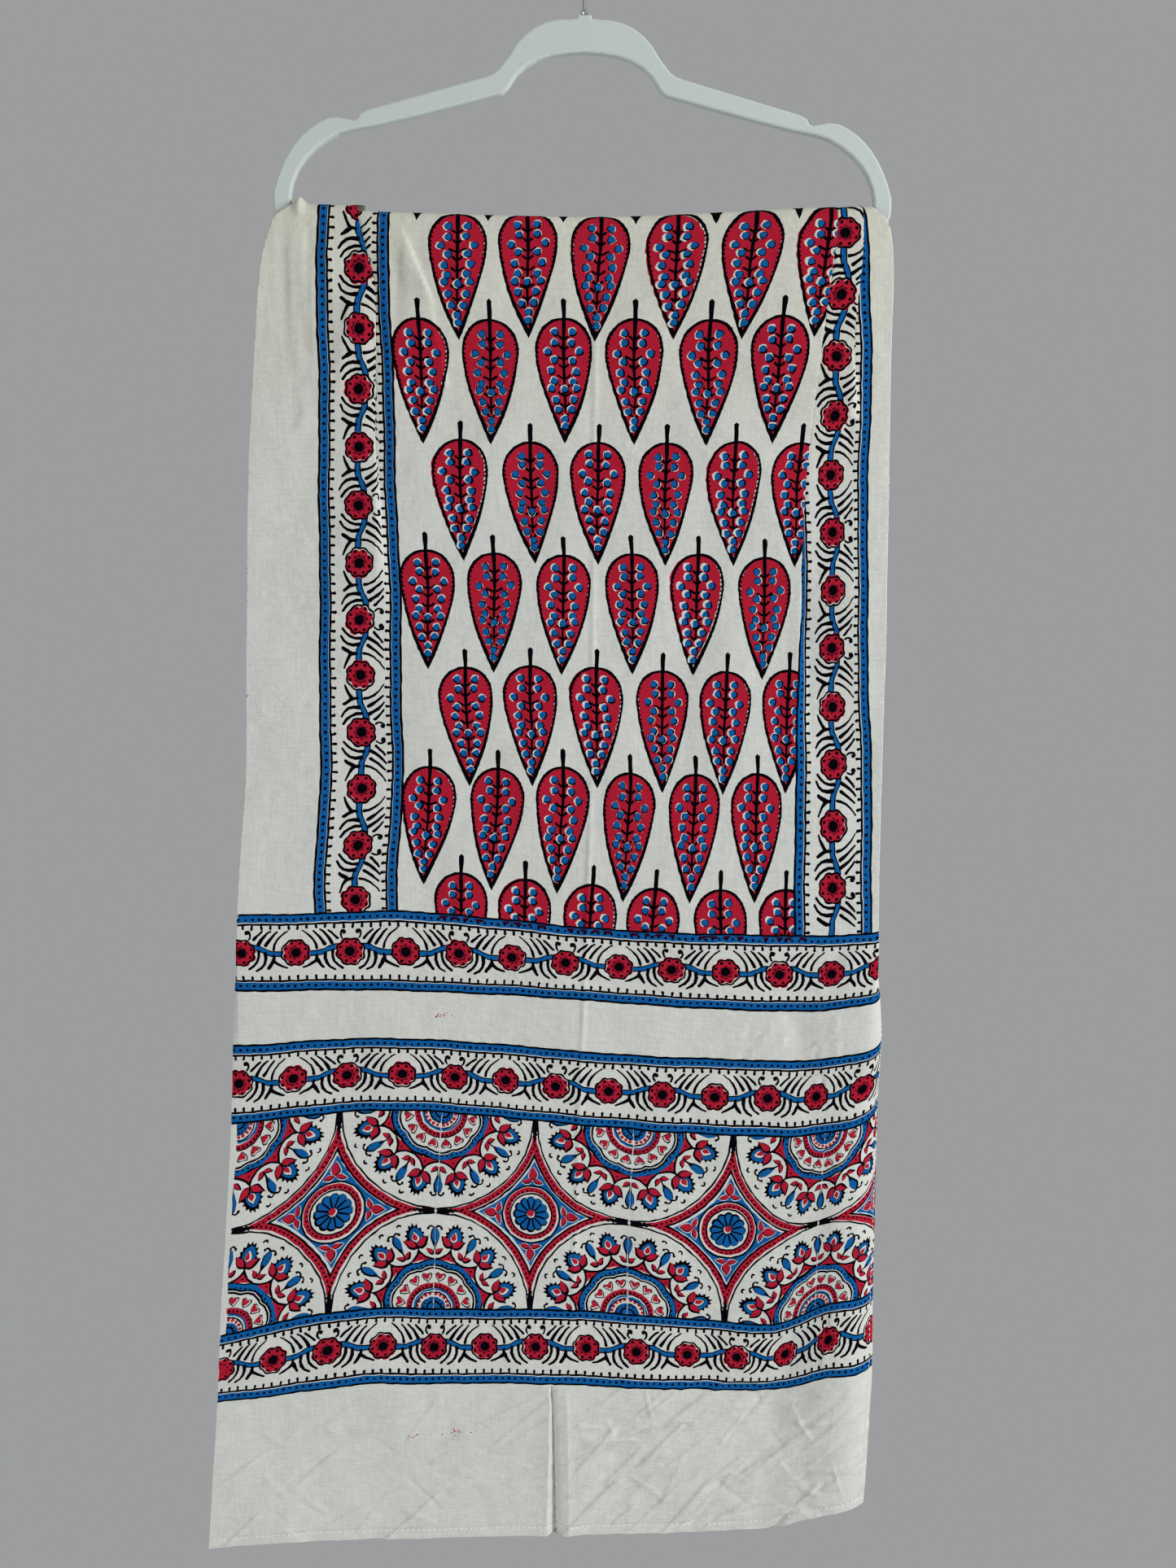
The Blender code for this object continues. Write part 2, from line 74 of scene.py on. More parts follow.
# Each row is one line across the cloth: its flat distance from the bar, where the five printed
# lines above lie in x, and how far each stands out from the hanging plane
Line = namedtuple("Line", "along x1 x2 x3 x4 x5 out1 out2 out3 out4 out5")
FRONT_LINES = (
    Line(0, -193, -142, 7.5, 179.5, 199, 2.3, 1.5, 0.3, 6.4, 2.3),
    Line(14, -193, -142, 7.5, 179, 202, 2.3, 1.5, 0.6, 6.4, 2.3),
    Line(40, -194, -142, 7.3, 176.5, 204.5, 2.3, 1.5, 1.2, 6.4, 2.3),
    Line(110, -195, -141, 5, 168, 208, 2.5, 1.8, 2, 6.4, 2.3),
    Line(200, -196, -139.5, 5, 159.5, 207.5, 3.2, 2.2, 3, 6.4, 2.3),
    Line(290, -197.5, -137.5, 5.1, 157, 209, 3.8, 3.4, 3.2, 5.4, 3.2),
    Line(400, -199.6, -137.8, 5.1, 154.5, 214, 4, 2.6, 4.2, 6, 4),
    Line(512, -206, -143.7, -0.7, 155.5, 217, 5.2, 2.6, 4.8, 6.6, 5.4),
    Line(573.5, -206.5, -144, -3.3, 155.5, 212, 4.6, 3.4, 5.2, 5.6, 8),
    Line(614, -207, -144, -4.6, 152, 208, 4.2, 4.6, 5.4, 5.8, 9),
    Line(675.5, -209.5, -146.5, -8.5, 149, 203, 5, 3.8, 6.2, 7.6, 7.6),
    Line(832.5, -222.5, -155.5, -13.5, 144, 197.5, 6.4, 5, 6.6, 5, 9.6),
    Line(894, -226, -158.5, -14.5, 142, 196, 6.8, 6.2, 6, 3.6, 10.4),
    Line(1024, -236, -166, -23.0, 134, 189, 9.6, 6.6, 7, 5.6, 11),
)
BACK_LINES = (
    Line(0, -193, -142, 7.5, 182, 199, 2.3, 1.5, 0.3, 6.4, 2.3),
    Line(14, -193, -142, 7.5, 183, 199, 2.3, 1.5, 0.6, 6.4, 2.3),
    Line(60, -195, -141, 6.5, 178, 201, 2.3, 1.5, 1.4, 6.4, 2.3),
    Line(200, -199, -140, 5, 166, 204, 2.6, 3, 2, 6, 2.6),
    Line(500, -200, -141, 2, 155, 204, 3, 5, 2.4, 5, 3),
    Line(985, -202, -143, -1, 150, 202, 3.4, 7, 3, 7, 3.4),
)

# The height of the same lines at the cloth's left edge, the five printed lines and its right edge
Height = namedtuple("Height", "along z0 z1 z2 z3 z4 z5 z6")
FRONT_HEIGHTS = (
    Height(0, -210, -211, -215.4, -217.5, -217.2, -213, -212),
    Height(14, -220, -221, -225.5, -227.7, -227, -223, -222),
    Height(40, -250, -250, -251, -253.6, -252, -250, -250),
    Height(110, -322, -322, -323, -325, -324, -322, -321),
    Height(200, -413, -413, -413, -415, -416, -413, -412),
    Height(290, -503, -503, -503, -506, -508, -505, -504),
    Height(400, -615, -615, -614, -618, -622, -618, -615),
    Height(512, -729.5, -729.5, -727.6, -740, -746, -744, -733),
    Height(573.5, -789, -788.7, -789, -796, -805, -799, -788),
    Height(614, -832.3, -828.5, -826.5, -836.5, -844, -837, -827),
    Height(675.5, -894, -887, -883.3, -894, -903.5, -896, -884),
    Height(832.5, -1065, -1051, -1043.6, -1045, -1057, -1036, -1034),
    Height(894, -1120, -1112.7, -1105, -1106.5, -1113, -1097, -1095),
    Height(1024, -1243, -1237.5, -1236.5, -1233, -1229, -1214, -1209),
)
BACK_HEIGHTS = (
    Height(0, -210, -211, -215.4, -217.5, -217.2, -213, -212),
    Height(14, -220, -221, -225.5, -227.7, -227, -223, -222),
    Height(60, -270, -270, -271, -273.6, -272, -270, -270),
    Height(200, -411, -411, -412, -414, -413, -411, -411),
    Height(500, -711, -711, -712, -714, -713, -711, -711),
    Height(985, -1193, -1196, -1199, -1197, -1199, -1195, -1192),
)

# Each row gives the folds at a flat distance from the bar: how much of the left and right margins
# is folded back behind the cloth, over what length each bends and by what angle, and how much
# cloth is hidden by the tuck in the left border and by the field lapping over the right border
Folds = namedtuple("Folds", "along left left_bend left_angle tuck lap right right_bend right_angle")


def shut(along, left, tuck, lap, right):
    """A row where both margins are turned right back."""
    return Folds(along, left, TURN, 180, tuck, lap, right, TURN, 180)


FRONT_FOLDS = (
    shut(0, 50, 10.5, 27, 28),
    shut(5, 45, 10.5, 27, 27.5),
    shut(13, 34, 10.2, 26.5, 20.5),
    shut(24, 29.5, 10.0, 26, 18.5),
    shut(40, 25, 9.5, 25, 18),
    shut(110, 18, 6.5, 19, 21),
    shut(200, 13, 2.5, 8.5, 20),
    shut(290, 11, 0, 2, 21),
    shut(400, 9.5, 0, 0, 27),
    shut(500, 7, 0, 0, 30),
    Folds(545, 6, 3.6, 120, 0, 0, 30, 9, 150),
    Folds(575, 6, 4, 60, 0, 0, 30, 18, 108),
    Folds(614, 6, 5, 20, 0, 0, 30, 22, 78),
    Folds(700, 6, 5, 0, 0, 0, 30, 24, 64),
    Folds(832, 6, 5, 0, 0, 0, 30, 24, 50),
    Folds(894, 6, 5, 0, 0, 0, 30, 24, 42),
    Folds(1024, 6, 5, 0, 0, 0, 30, 24, 30),
)
BACK_FOLDS = (
    shut(0, 50, 10.5, 27, 28),
    shut(6, 49.5, 10.5, 27, 27.5),
    shut(40, 30, 9.5, 25, 22),
    shut(200, 26, 2.5, 20, 20),
    shut(330, 25, 0, 0, 20),
    shut(985, 24, 0, 0, 20),
)

# The pleat in the plain end: the flat places of the upper flap's edge, of the groove beside it and
# of the ridge to the right, each under the last band and at the hem
Across = namedtuple("Across", "top hem")
FLAP_EDGE, GROOVE, RIDGE = Across(257.5, 263.5), Across(258.7, 271.0), Across(270.5, 282.0)
FLAP_RISE, RIDGE_RISE, GROOVE_DEPTH = 1.3, 0.9, Across(3.0, 6.5)
FLAP_WIDE, GROOVE_WIDE, RIDGE_WIDE = 8.0, 1.6, 2.2
PLEAT_ABOVE, PLEAT_OPENS = 4.0, 14.0

HEM_WIDE, HEM_GROOVE = 7.6, 0.5

# The pinched peak of the left margin over the bar: its flat place, half width, length and rise
PEAK_PLACE, PEAK_HALF, PEAK_LONG, PEAK_RISE = 51.5, 3.6, 9.0, 5.0

# Creases and soft folds on the front: each runs from (x1, z1) to (x2, z2), is this
# wide on its upper and lower side, and rises or, if negative, sinks this far
Fold = namedtuple("Fold", "x1 z1 x2 z2 upper lower rise")
CREASES = (
    Fold(-232, -243, 222, -246, 1.5, 7.0, 1.1),
    Fold(-235, -262, 60, -262, 3.0, 3.0, 0.4),
    Fold(7.3, -235, 5.0, -620, 2.0, 2.0, 0.7),
    Fold(5.0, -620, -12.8, -1109, 2.0, 2.0, 0.9),
    Fold(-139, -214, -110, -284, 1.6, 12.0, 2.8),
    Fold(-113, -281, -100, -345, 1.8, 9.0, 1.3),
    Fold(-152, -250, -150, -420, 5.0, 7.0, -1.3),
    Fold(-205, -212, -196, -250, 4.0, 4.0, -1.2),
    Fold(-300, -1181, -206, -1132, 5.0, 3.0, 0.9),
    Fold(-303, -1216, -222, -1184, 5.0, 3.0, 0.8),
    Fold(-262, -1203, -176, -1163, 4.0, 3.0, 0.6),
    Fold(-214, -1190, -131, -1141, 4.0, 3.0, 0.6),
    Fold(36, -1187, 128, -1151, 5.0, 3.0, 0.9),
    Fold(66, -1223, 170, -1157, 5.0, 3.0, 1.0),
    Fold(98, -1212, 208, -1132, 6.0, 3.0, 1.3),
    Fold(120, -1176, 200, -1113, 6.0, 3.0, 1.0),
    Fold(-4, -1159, 88, -1131, 4.0, 3.0, 0.6),
    Fold(140, -1150, 166, -1060, 12.0, 12.0, -1.8),
    Fold(203, -860, 190, -1010, 8.0, 12.0, 1.6),
    Fold(160, -800, 186, -960, 10.0, 10.0, -1.2),
    Fold(196, -770, 222, -745, 6.0, 6.0, 1.5),
)

# The printed layout: the distances along the front of its bands' edges, measured from the bar
BAND1, BAND1_END = 512.0, 573.5
BAND2, PANEL, BAND3, BAND3_END = 614.0, 675.5, 832.5, 894.0
BORDER_HALF = 30.75
FLOWER_PITCH = 41.6
LEAF_LONG, LEAF_HALF, LEAF_STEM = 88.0, 20.6, 12.0

# Points that carry the folds where nothing is printed: each grid's first and last distance and step
GRID_STEP = 4.0
GRIDS = (
    (-BACK_LONG, -6.0, 6.5),
    (0.0, BAND3_END, GRID_STEP),
    (BAND3_END + GRID_STEP, FRONT_LONG, 1.8),
)

# The steps of the fine grid that holds the hung shape
FINE_U, FINE_S = 0.25, 1.0

WRINKLE_SEED, CREASE_SEED, PRINT_SEED = 11, 23, 5

# Random waves on the hanging cloth: their lengths in x and z, and how far the slanting ones lean
BROAD_WAVE, CRUSH_WAVE = (90.0, 140.0), (26.0, 34.0)
SLANT_WAVE, GATHER_WAVE = (70.0, 13.0), (16.0, 120.0)
SLANT_LEAN = radians(28)

# From where and over what length the wrinkles come in below the bar, and the halves draw together
WRINKLE_START, WRINKLE_LONG = 8.0, 30.0
SETTLE_START, SETTLE_LONG = 40.0, 80.0

# How much longer a fold's bends get as the fold runs out
BEND_EASE = 6.0


def monotone(xs, ys, x):
    """A smooth curve through (xs, ys) that never overshoots between two of its points."""
    xs, ys = np.asarray(xs, float), np.asarray(ys, float)
    step = np.diff(xs)
    slope = np.diff(ys, axis=-1) / step
    same_sign = slope[..., :-1] * slope[..., 1:] > 0
    total = np.where(same_sign, slope[..., :-1] + slope[..., 1:], 1.0)
    middle = np.where(same_sign, 2 * slope[..., :-1] * slope[..., 1:] / total, 0.0)
    tangent = np.concatenate([slope[..., :1], middle, slope[..., -1:]], axis=-1)
    x = np.clip(x, xs[0], xs[-1])
    k = np.clip(np.searchsorted(xs, x, side="right") - 1, 0, len(step) - 1)
    t, gap = (x - xs[k]) / step[k], step[k]
    start = (1 + 2 * t) * (1 - t) ** 2 * ys[..., k] + t * (1 - t) ** 2 * gap * tangent[..., k]
    end = t * t * (3 - 2 * t) * ys[..., k + 1] + t * t * (t - 1) * gap * tangent[..., k + 1]
    return start + end


def column(rows, name, along):
    return monotone([row.along for row in rows], [getattr(row, name) for row in rows], along)


def over_bar(along):
    """How much higher the cloth lies than a straight drop from the crest, once round the bar."""
    round_angle = np.minimum(along / BEND, pi / 2)
    return np.minimum(along, BEND * pi / 2) - BEND * (1 - np.cos(round_angle))


def height(rows, name, along):
    places = np.array([row.along for row in rows], float)
    drops = np.array([getattr(row, name) for row in rows]) - over_bar(places)
    return monotone(places, drops, along) + over_bar(along)


def ramp(value):
    return np.clip(value, 0.0, 1.0)


def soft_ramp(value):
    value = ramp(value)
    return value * value * (3 - 2 * value)


def fold_plan(hidden):
    """(length of each bend, length between the bends, angle) of folds that hide this much cloth."""
    full = 2 * TURN
    wide = hidden >= full
    share = ramp(hidden / full)
    bend = np.where(wide, TURN, TURN + BEND_EASE * (1 - share))
    flat = np.where(wide, (hidden - full) / 2, 0.0)
    angle = np.where(wide, pi, pi * np.sqrt(ramp(hidden / (2 * bend))))
    return bend, flat, angle


def fold_angle(across, start, plan):
    """The direction of the cloth through a fold: it turns back behind itself and returns."""
    bend, flat, angle = (part[:, None] for part in plan)
    rise = ramp((across - start) / bend)
    fall = ramp((across - start - bend - flat) / bend)
    return -angle * (rise - fall)


def between(pair, share):
    return pair.top + (pair.hem - pair.top) * share


def pleat(across, along):
    """How far the pleat moves the plain end in or out."""
    share = ramp((along - BAND3_END) / (FRONT_LONG - BAND3_END))[:, None]
    open_here = soft_ramp((along - BAND3_END + PLEAT_ABOVE) / PLEAT_OPENS)[:, None]
    edge, groove, ridge = (between(pair, share) for pair in (FLAP_EDGE, GROOVE, RIDGE))
    deep = between(GROOVE_DEPTH, share)
    u = across[None, :]
    flap = FLAP_RISE * np.exp(-np.abs(edge - u) / FLAP_WIDE)
    face = FLAP_RISE - (FLAP_RISE + deep) * ramp((u - edge) / (groove - edge))
    rising = ramp((u - groove) / (ridge - groove)) ** 2
    strip = RIDGE_RISE * rising - deep * np.exp(-np.abs(u - groove) / GROOVE_WIDE) * (1 - rising)
    beyond = RIDGE_RISE * np.exp(-np.abs(u - ridge) / RIDGE_WIDE)
    return open_here * np.select((u < edge, u < groove, u < ridge), (flap, face, strip), beyond)


def smooth_noise(rng, shape, cell, wave_x, wave_z, turn=0.0):
    """Random waves of about these lengths, in millimetres, with a spread of 1."""
    field = np.fft.rfft2(rng.standard_normal(shape))
    fz = np.fft.fftfreq(shape[0], cell)[:, None]
    fx = np.fft.rfftfreq(shape[1], cell)[None, :]
    across, along = fx * cos(turn) + fz * sin(turn), fz * cos(turn) - fx * sin(turn)
    size = (across * wave_x) ** 2 + (along * wave_z) ** 2
    waves = np.fft.irfft2(field * size * np.exp(-size), shape)
    return waves / waves.std()


def crease_height(x, z, fold):
    """The rise of one crease at a place: a ridge with a width for each side, fading at its ends."""
    run_x, run_z = fold.x2 - fold.x1, fold.z2 - fold.z1
    length = hypot(run_x, run_z)
    along = ((x - fold.x1) * run_x + (z - fold.z1) * run_z) / length
    off = ((z - fold.z1) * run_x - (x - fold.x1) * run_z) / length
    if run_x < 0:
        off = -off
    wide = np.where(off > 0, fold.upper, fold.lower)
    first_end = soft_ramp(along / (0.22 * length) + 0.25)
    last_end = soft_ramp((length - along) / (0.3 * length) + 0.15)
    return fold.rise * (first_end * last_end) * np.exp(-((off / wide) ** 2))


# Groups of random fine creases: how many, the box (x1, x2, z1, z2) they start in, their slope and its
# spread in degrees, their shortest and longest, and their highest rise
CreaseGroup = namedtuple("CreaseGroup", "count x1 x2 z1 z2 slope spread short long rise")
CREASE_GROUPS = (
    CreaseGroup(44, -290, -30, -1235, -1125, 26, 11, 25, 100, 1.2),
    CreaseGroup(80, 0, 215, -1225, -1110, 33, 13, 25, 105, 1.5),
    CreaseGroup(20, -280, -30, -1235, -1125, -30, 20, 15, 45, 0.7),
    CreaseGroup(30, 0, 215, -1225, -1110, -35, 25, 12, 40, 0.9),
    CreaseGroup(30, -220, 200, -890, -800, 20, 40, 15, 50, 0.4),
    CreaseGroup(40, -215, 205, -790, -240, 8, 50, 20, 70, 0.35),
    CreaseGroup(26, -236, -196, -800, -240, 5, 30, 12, 34, 0.5),
    CreaseGroup(18, 120, 205, -1100, -760, 60, 30, 25, 80, 0.8),
)


def random_creases(rng):
    found = []
    for group in CREASE_GROUPS:
        for _ in range(group.count):
            x, z = rng.uniform(group.x1, group.x2), rng.uniform(group.z1, group.z2)
            slope = radians(group.slope + rng.normal(0.0, group.spread))
            long = rng.uniform(group.short, group.long) / 2
            wide = rng.uniform(0.8, 1.9)
            rise = rng.uniform(0.3, 1.0) * group.rise * rng.choice((1.0, 1.0, -1.0))
            run_x, run_z = long * cos(slope), long * sin(slope)
            lower = wide * rng.uniform(1.5, 4.5)
            found.append(Fold(x - run_x, z - run_z, x + run_x, z + run_z, wide, lower, rise))
    return found


class Relief:
    """Wrinkles and creases as heights over (x, z), so that folded layers move together."""

    CELL = 1.0

    def __init__(self):
        self.x = np.arange(-330.0, 260.0, self.CELL)
        self.z = np.arange(-1260.0, -190.0, self.CELL)
        rng = np.random.default_rng(WRINKLE_SEED)
        shape = (len(self.z), len(self.x))
        x, z = self.x[None, :], self.z[:, None]
        broad = smooth_noise(rng, shape, self.CELL, *BROAD_WAVE)
        crush = smooth_noise(rng, shape, self.CELL, *CRUSH_WAVE)
        slant = smooth_noise(rng, shape, self.CELL, *SLANT_WAVE, SLANT_LEAN)
        upright = smooth_noise(rng, shape, self.CELL, *GATHER_WAVE)
        plain_end = soft_ramp((-1085 - z) / 60.0)
        lower_right = soft_ramp((-1060 - z) / 80.0) * soft_ramp((x - 10) / 90.0)
        gathers = soft_ramp((z + 420) / 180.0) * soft_ramp(1.2 - np.abs(x + 178) / 70.0)
        slanting = (0.05 + 0.06 * plain_end + 0.12 * lower_right) * slant
        self.front = 0.5 * broad + 0.1 * crush + slanting + 0.5 * gathers * upright
        for fold in (*CREASES, *random_creases(np.random.default_rng(CREASE_SEED))):
            self.add_fold(fold)
        self.back = 0.6 * broad[:, ::-1] + 0.12 * crush[:, ::-1] + 0.15 * slant[:, ::-1]

    def add_fold(self, fold):
        reach = 3 * max(fold.upper, fold.lower) + 0.15 * hypot(fold.x2 - fold.x1, fold.z2 - fold.z1)
        cols = self.reached(self.x, (fold.x1, fold.x2), reach)
        rows = self.reached(self.z, (fold.z1, fold.z2), reach)
        self.front[rows, cols] += crease_height(self.x[None, cols], self.z[rows, None], fold)

    @staticmethod
    def reached(places, ends, reach):
        return slice(*np.searchsorted(places, (min(ends) - reach, max(ends) + reach)))

    def at(self, x, z, front):
        column_at = np.clip((x - self.x[0]) / self.CELL, 0, len(self.x) - 1.001)
        row_at = np.clip((z - self.z[0]) / self.CELL, 0, len(self.z) - 1.001)
        return bilinear(self.front if front else self.back, row_at, column_at)


def bilinear(grid, row_at, column_at):
    row, col = row_at.astype(int), column_at.astype(int)
    down, right = row_at - row, column_at - col
    if grid.ndim == 3:
        down, right = down[:, None], right[:, None]
    top = grid[row, col] * (1 - right) + grid[row, col + 1] * right
    bottom = grid[row + 1, col] * (1 - right) + grid[row + 1, col + 1] * right
    return top * (1 - down) + bottom * down


def hang(along, front, relief):
    """(x, y, z) of the cloth at these distances from the bar, for every fine step across it."""
    lines = FRONT_LINES if front else BACK_LINES
    heights = FRONT_HEIGHTS if front else BACK_HEIGHTS
    folds = FRONT_FOLDS if front else BACK_FOLDS
    fine = np.arange(0.0, CLOTH_WIDE + FINE_U / 2, FINE_U)
    left, left_bend, left_angle = (column(folds, n, along)[:, None] for n in Folds._fields[1:4])
    right, right_bend, right_angle = (column(folds, n, along)[:, None] for n in Folds._fields[6:9])
    angle = np.radians(left_angle) * ramp((left - fine) / left_bend)
    angle = angle - np.radians(right_angle) * ramp((fine - CLOTH_WIDE + right) / right_bend)
    tuck_start = monotone(TUCK_ALONG, TUCK_START, along)[:, None]
    angle = angle + fold_angle(fine, tuck_start, fold_plan(column(folds, "tuck", along)))
    angle = angle + fold_angle(fine, OVERLAP_START, fold_plan(column(folds, "lap", along)))
    side = monotone(SIDE_ALONG, SIDE_HIDDEN, along)
    angle = angle + fold_angle(fine, SIDE_START, fold_plan(side))
    path_x = np.cumsum(np.cos(angle), axis=1) * FINE_U
    path_out = np.cumsum(np.sin(angle), axis=1) * FINE_U
    at = np.array(ANCHORS)
    index = np.round(at / FINE_U).astype(int)
    want_x = np.stack([column(lines, f"x{i + 1}", along) for i in range(len(at))], axis=1)
    want_out = np.stack([column(lines, f"out{i + 1}", along) for i in range(len(at))], axis=1)
    x = path_x + monotone(at, want_x - path_x[:, index], fine)
    out = path_out + monotone(at, want_out - path_out[:, index], fine)
    want_z = np.stack([height(heights, f"z{i}", along) for i in range(len(at) + 2)], axis=1)
    z = monotone((0.0, *ANCHORS, CLOTH_WIDE), want_z, fine)
    if front:
        out = out + pleat(fine, along)
        out = out - HEM_GROOVE * np.exp(-((along - FRONT_LONG + HEM_WIDE) ** 2))[:, None]
    peak = np.exp(-(((fine - PEAK_PLACE) / PEAK_HALF) ** 2))[None, :]
    out = out + PEAK_RISE * peak * np.exp(-((along / PEAK_LONG) ** 2))[:, None]
    free = soft_ramp((along - WRINKLE_START) / WRINKLE_LONG)[:, None]
    out = out + free * relief.at(x, z, front)
    round_angle = np.minimum(along / BEND, pi / 2)[:, None]
    settle = soft_ramp((along - SETTLE_START) / SETTLE_LONG)[:, None]
    plane = BEND * np.sin(round_angle) + (HANG_OUT - BEND) * settle
    y = (-1.0 if front else 1.0) * (plane + out * np.sin(round_angle))
    return np.stack([x, y, z + out * np.cos(round_angle)], axis=2)


class HungCloth:
    """The place and the facing of every point of the flat cloth once it hangs."""

    def __init__(self):
        relief = Relief()
        front = hang(np.arange(0.0, FRONT_LONG + 0.5, FINE_S), True, relief)
        back = hang(np.arange(FINE_S, BACK_LONG + 0.5, FINE_S), False, relief)
        self.places = np.concatenate([back[::-1], front], axis=0)
        along_s = np.gradient(self.places, FINE_S, axis=0)
        across_u = np.gradient(self.places, FINE_U, axis=1)
        facing = np.cross(along_s, across_u)
        self.facing = facing / np.linalg.norm(facing, axis=2, keepdims=True)

    def at(self, flat):
        """(places, facings) in metres for an array of flat (u, s)."""
        column_at = np.clip(flat[:, 0] / FINE_U, 0, self.places.shape[1] - 1.001)
        row_at = np.clip((flat[:, 1] + BACK_LONG) / FINE_S, 0, self.places.shape[0] - 1.001)
        places = bilinear(self.places, row_at, column_at)
        facing = bilinear(self.facing, row_at, column_at)
        facing = facing / np.linalg.norm(facing, axis=1, keepdims=True)
        return places * MM, facing


def hand_wobble(points):
    """Moves printed points a little, as a hand-cut block on soft cloth does."""
    u, s = points[:, 0], points[:, 1]
    du = 0.16 * np.sin(u * 0.9 + s * 0.37 + 1.3) + 0.13 * np.sin(s * 1.23 - u * 0.31)
    ds = 0.16 * np.sin(s * 0.83 - u * 0.43 + 0.4) + 0.13 * np.sin(u * 1.17 + s * 0.29)
    du += 0.5 * np.sin(s * 0.045 + 2.0) + 0.25 * np.sin(s * 0.11 + u * 0.02)
    ds += 0.5 * np.sin(u * 0.041 + 1.0) + 0.25 * np.sin(u * 0.12 + s * 0.017)
    return points + np.stack([du, ds], axis=1)


class Drawing:
    """Outlines on the flat cloth, drawn one over another, each in an ink."""

    INKS = ("cloth", "red", "blue", "black", "dark")
    OVERPRINT = {("red", "blue"): "dark"}

    def __init__(self):
        self.layers = []
        self.detail = 1.0

    def points(self, count):
        """How many points an outline gets: fewer on the back, which is seen less."""
        return max(5, round(count * self.detail))

    def outline(self, points):
        points = hand_wobble(fine_outline(np.asarray(points, float)))
        return np.clip(points, (0.0, -BACK_LONG), (CLOTH_WIDE, FRONT_LONG))

    def fill(self, ink, points, holes=()):
        points = self.outline(points)
        if np.ptp(points[:, 0]) > 0.1 and np.ptp(points[:, 1]) > 0.1:
            self.layers.append((self.INKS.index(ink), points, [self.outline(hole) for hole in holes]))

    def rings(self):
        return [ring for _, outer, holes in self.layers for ring in (outer, *holes)]

    def paint(self, places):
        """The ink at each of these flat places."""
        order = np.argsort(places[:, 1], kind="stable")
        u, s = places[order, 0], places[order, 1]
        ink = np.zeros(len(places), int)
        for colour, outer, holes in self.layers:
            first, last = np.searchsorted(s, (outer[:, 1].min(), outer[:, 1].max()))
            beside = (u[first:last] > outer[:, 0].min()) & (u[first:last] < outer[:, 0].max())
            near = first + np.flatnonzero(beside)
            inside = within(outer, u[near], s[near])
            for hole in holes:
                inside &= ~within(hole, u[near], s[near])
            near = near[inside]
            under = ink[near]
            ink[near] = colour
            for (first_ink, second_ink), result in self.OVERPRINT.items():
                if self.INKS[colour] == second_ink:
                    ink[near[under == self.INKS.index(first_ink)]] = self.INKS.index(result)
        found = np.empty(len(places), int)
        found[order] = ink
        return found


LONGEST_EDGE = 5.0


def fine_outline(ring):
    """The same outline with its long edges divided, so that it can follow the folds."""
    ends = np.roll(ring, -1, axis=0)
    counts = np.ceil(np.linalg.norm(ends - ring, axis=1) / LONGEST_EDGE).astype(int).clip(1)
    if counts.max() == 1:
        return ring
    parts = [a + (b - a) * (np.arange(n) / n)[:, None] for a, b, n in zip(ring, ends, counts)]
    return np.concatenate(parts)


def within(ring, u, s):
    """Whether each place (u, s) lies inside a closed outline."""
    inside = np.zeros(len(u), bool)
    if not len(u):
        return inside
    ends = np.roll(ring, -1, axis=0)
    for (u1, s1), (u2, s2) in zip(ring, ends):
        if s1 != s2:
            inside ^= ((s1 > s) != (s2 > s)) & (u < (u2 - u1) * (s - s1) / (s2 - s1) + u1)
    return inside


def round_points(angles, reach):
    """Points at these angles and distances from the middle."""
    return np.stack([np.cos(angles) * reach, np.sin(angles) * reach], axis=1)


def disc(centre, radius, count=10, squash=1.0, turn=0.0):
    angles = np.arange(count) * 2 * pi / count
    return round_points(angles, radius) * (1.0, squash) @ rotation(turn).T + centre


def rotation(turn):
    return np.array([[cos(turn), -sin(turn)], [sin(turn), cos(turn)]])


def lobed(centre, radius, depth, lobes, count, turn=0.0, sharp=0.7):
    """A round outline with this many outward lobes."""
    angles = np.arange(count) * 2 * pi / count
    wave = np.abs(np.cos(lobes * angles / 2)) ** sharp
    reach = radius - depth + depth * wave
    return round_points(angles + turn, reach) + centre


def star_outline(centre, outer, inner, tips, turn=0.0):
    angles = np.arange(2 * tips) * pi / tips + turn
    reach = np.where(np.arange(2 * tips) % 2 == 0, outer, inner)
    return round_points(angles, reach) + centre


def bow(start, middle, end, count):
    """Points on the curve from start to end that leans towards middle."""
    t = np.linspace(0.0, 1.0, count)[:, None]
    start, middle, end = (np.asarray(p, float) for p in (start, middle, end))
    return (1 - t) ** 2 * start + 2 * t * (1 - t) * middle + t * t * end


# How much bolder every stroke is drawn than its own width
BOLD = 2.0


def stroke(path, wide, end_wide=None):
    """The outline of a line drawn along a path, narrowing to end_wide, with rounded ends."""
    path = np.asarray(path, float)
    end_wide = (wide if end_wide is None else end_wide) * BOLD
    wide = wide * BOLD
    run = np.gradient(path, axis=0)
    run /= np.linalg.norm(run, axis=1, keepdims=True)
    side = np.stack([-run[:, 1], run[:, 0]], axis=1)
    half = np.linspace(wide, end_wide, len(path))[:, None] / 2
    head, tail = path[:1] - run[:1] * half[0] * 0.8, path[-1:] + run[-1:] * half[-1] * 0.8
    return np.concatenate([head, path + side * half, tail, (path - side * half)[::-1]])


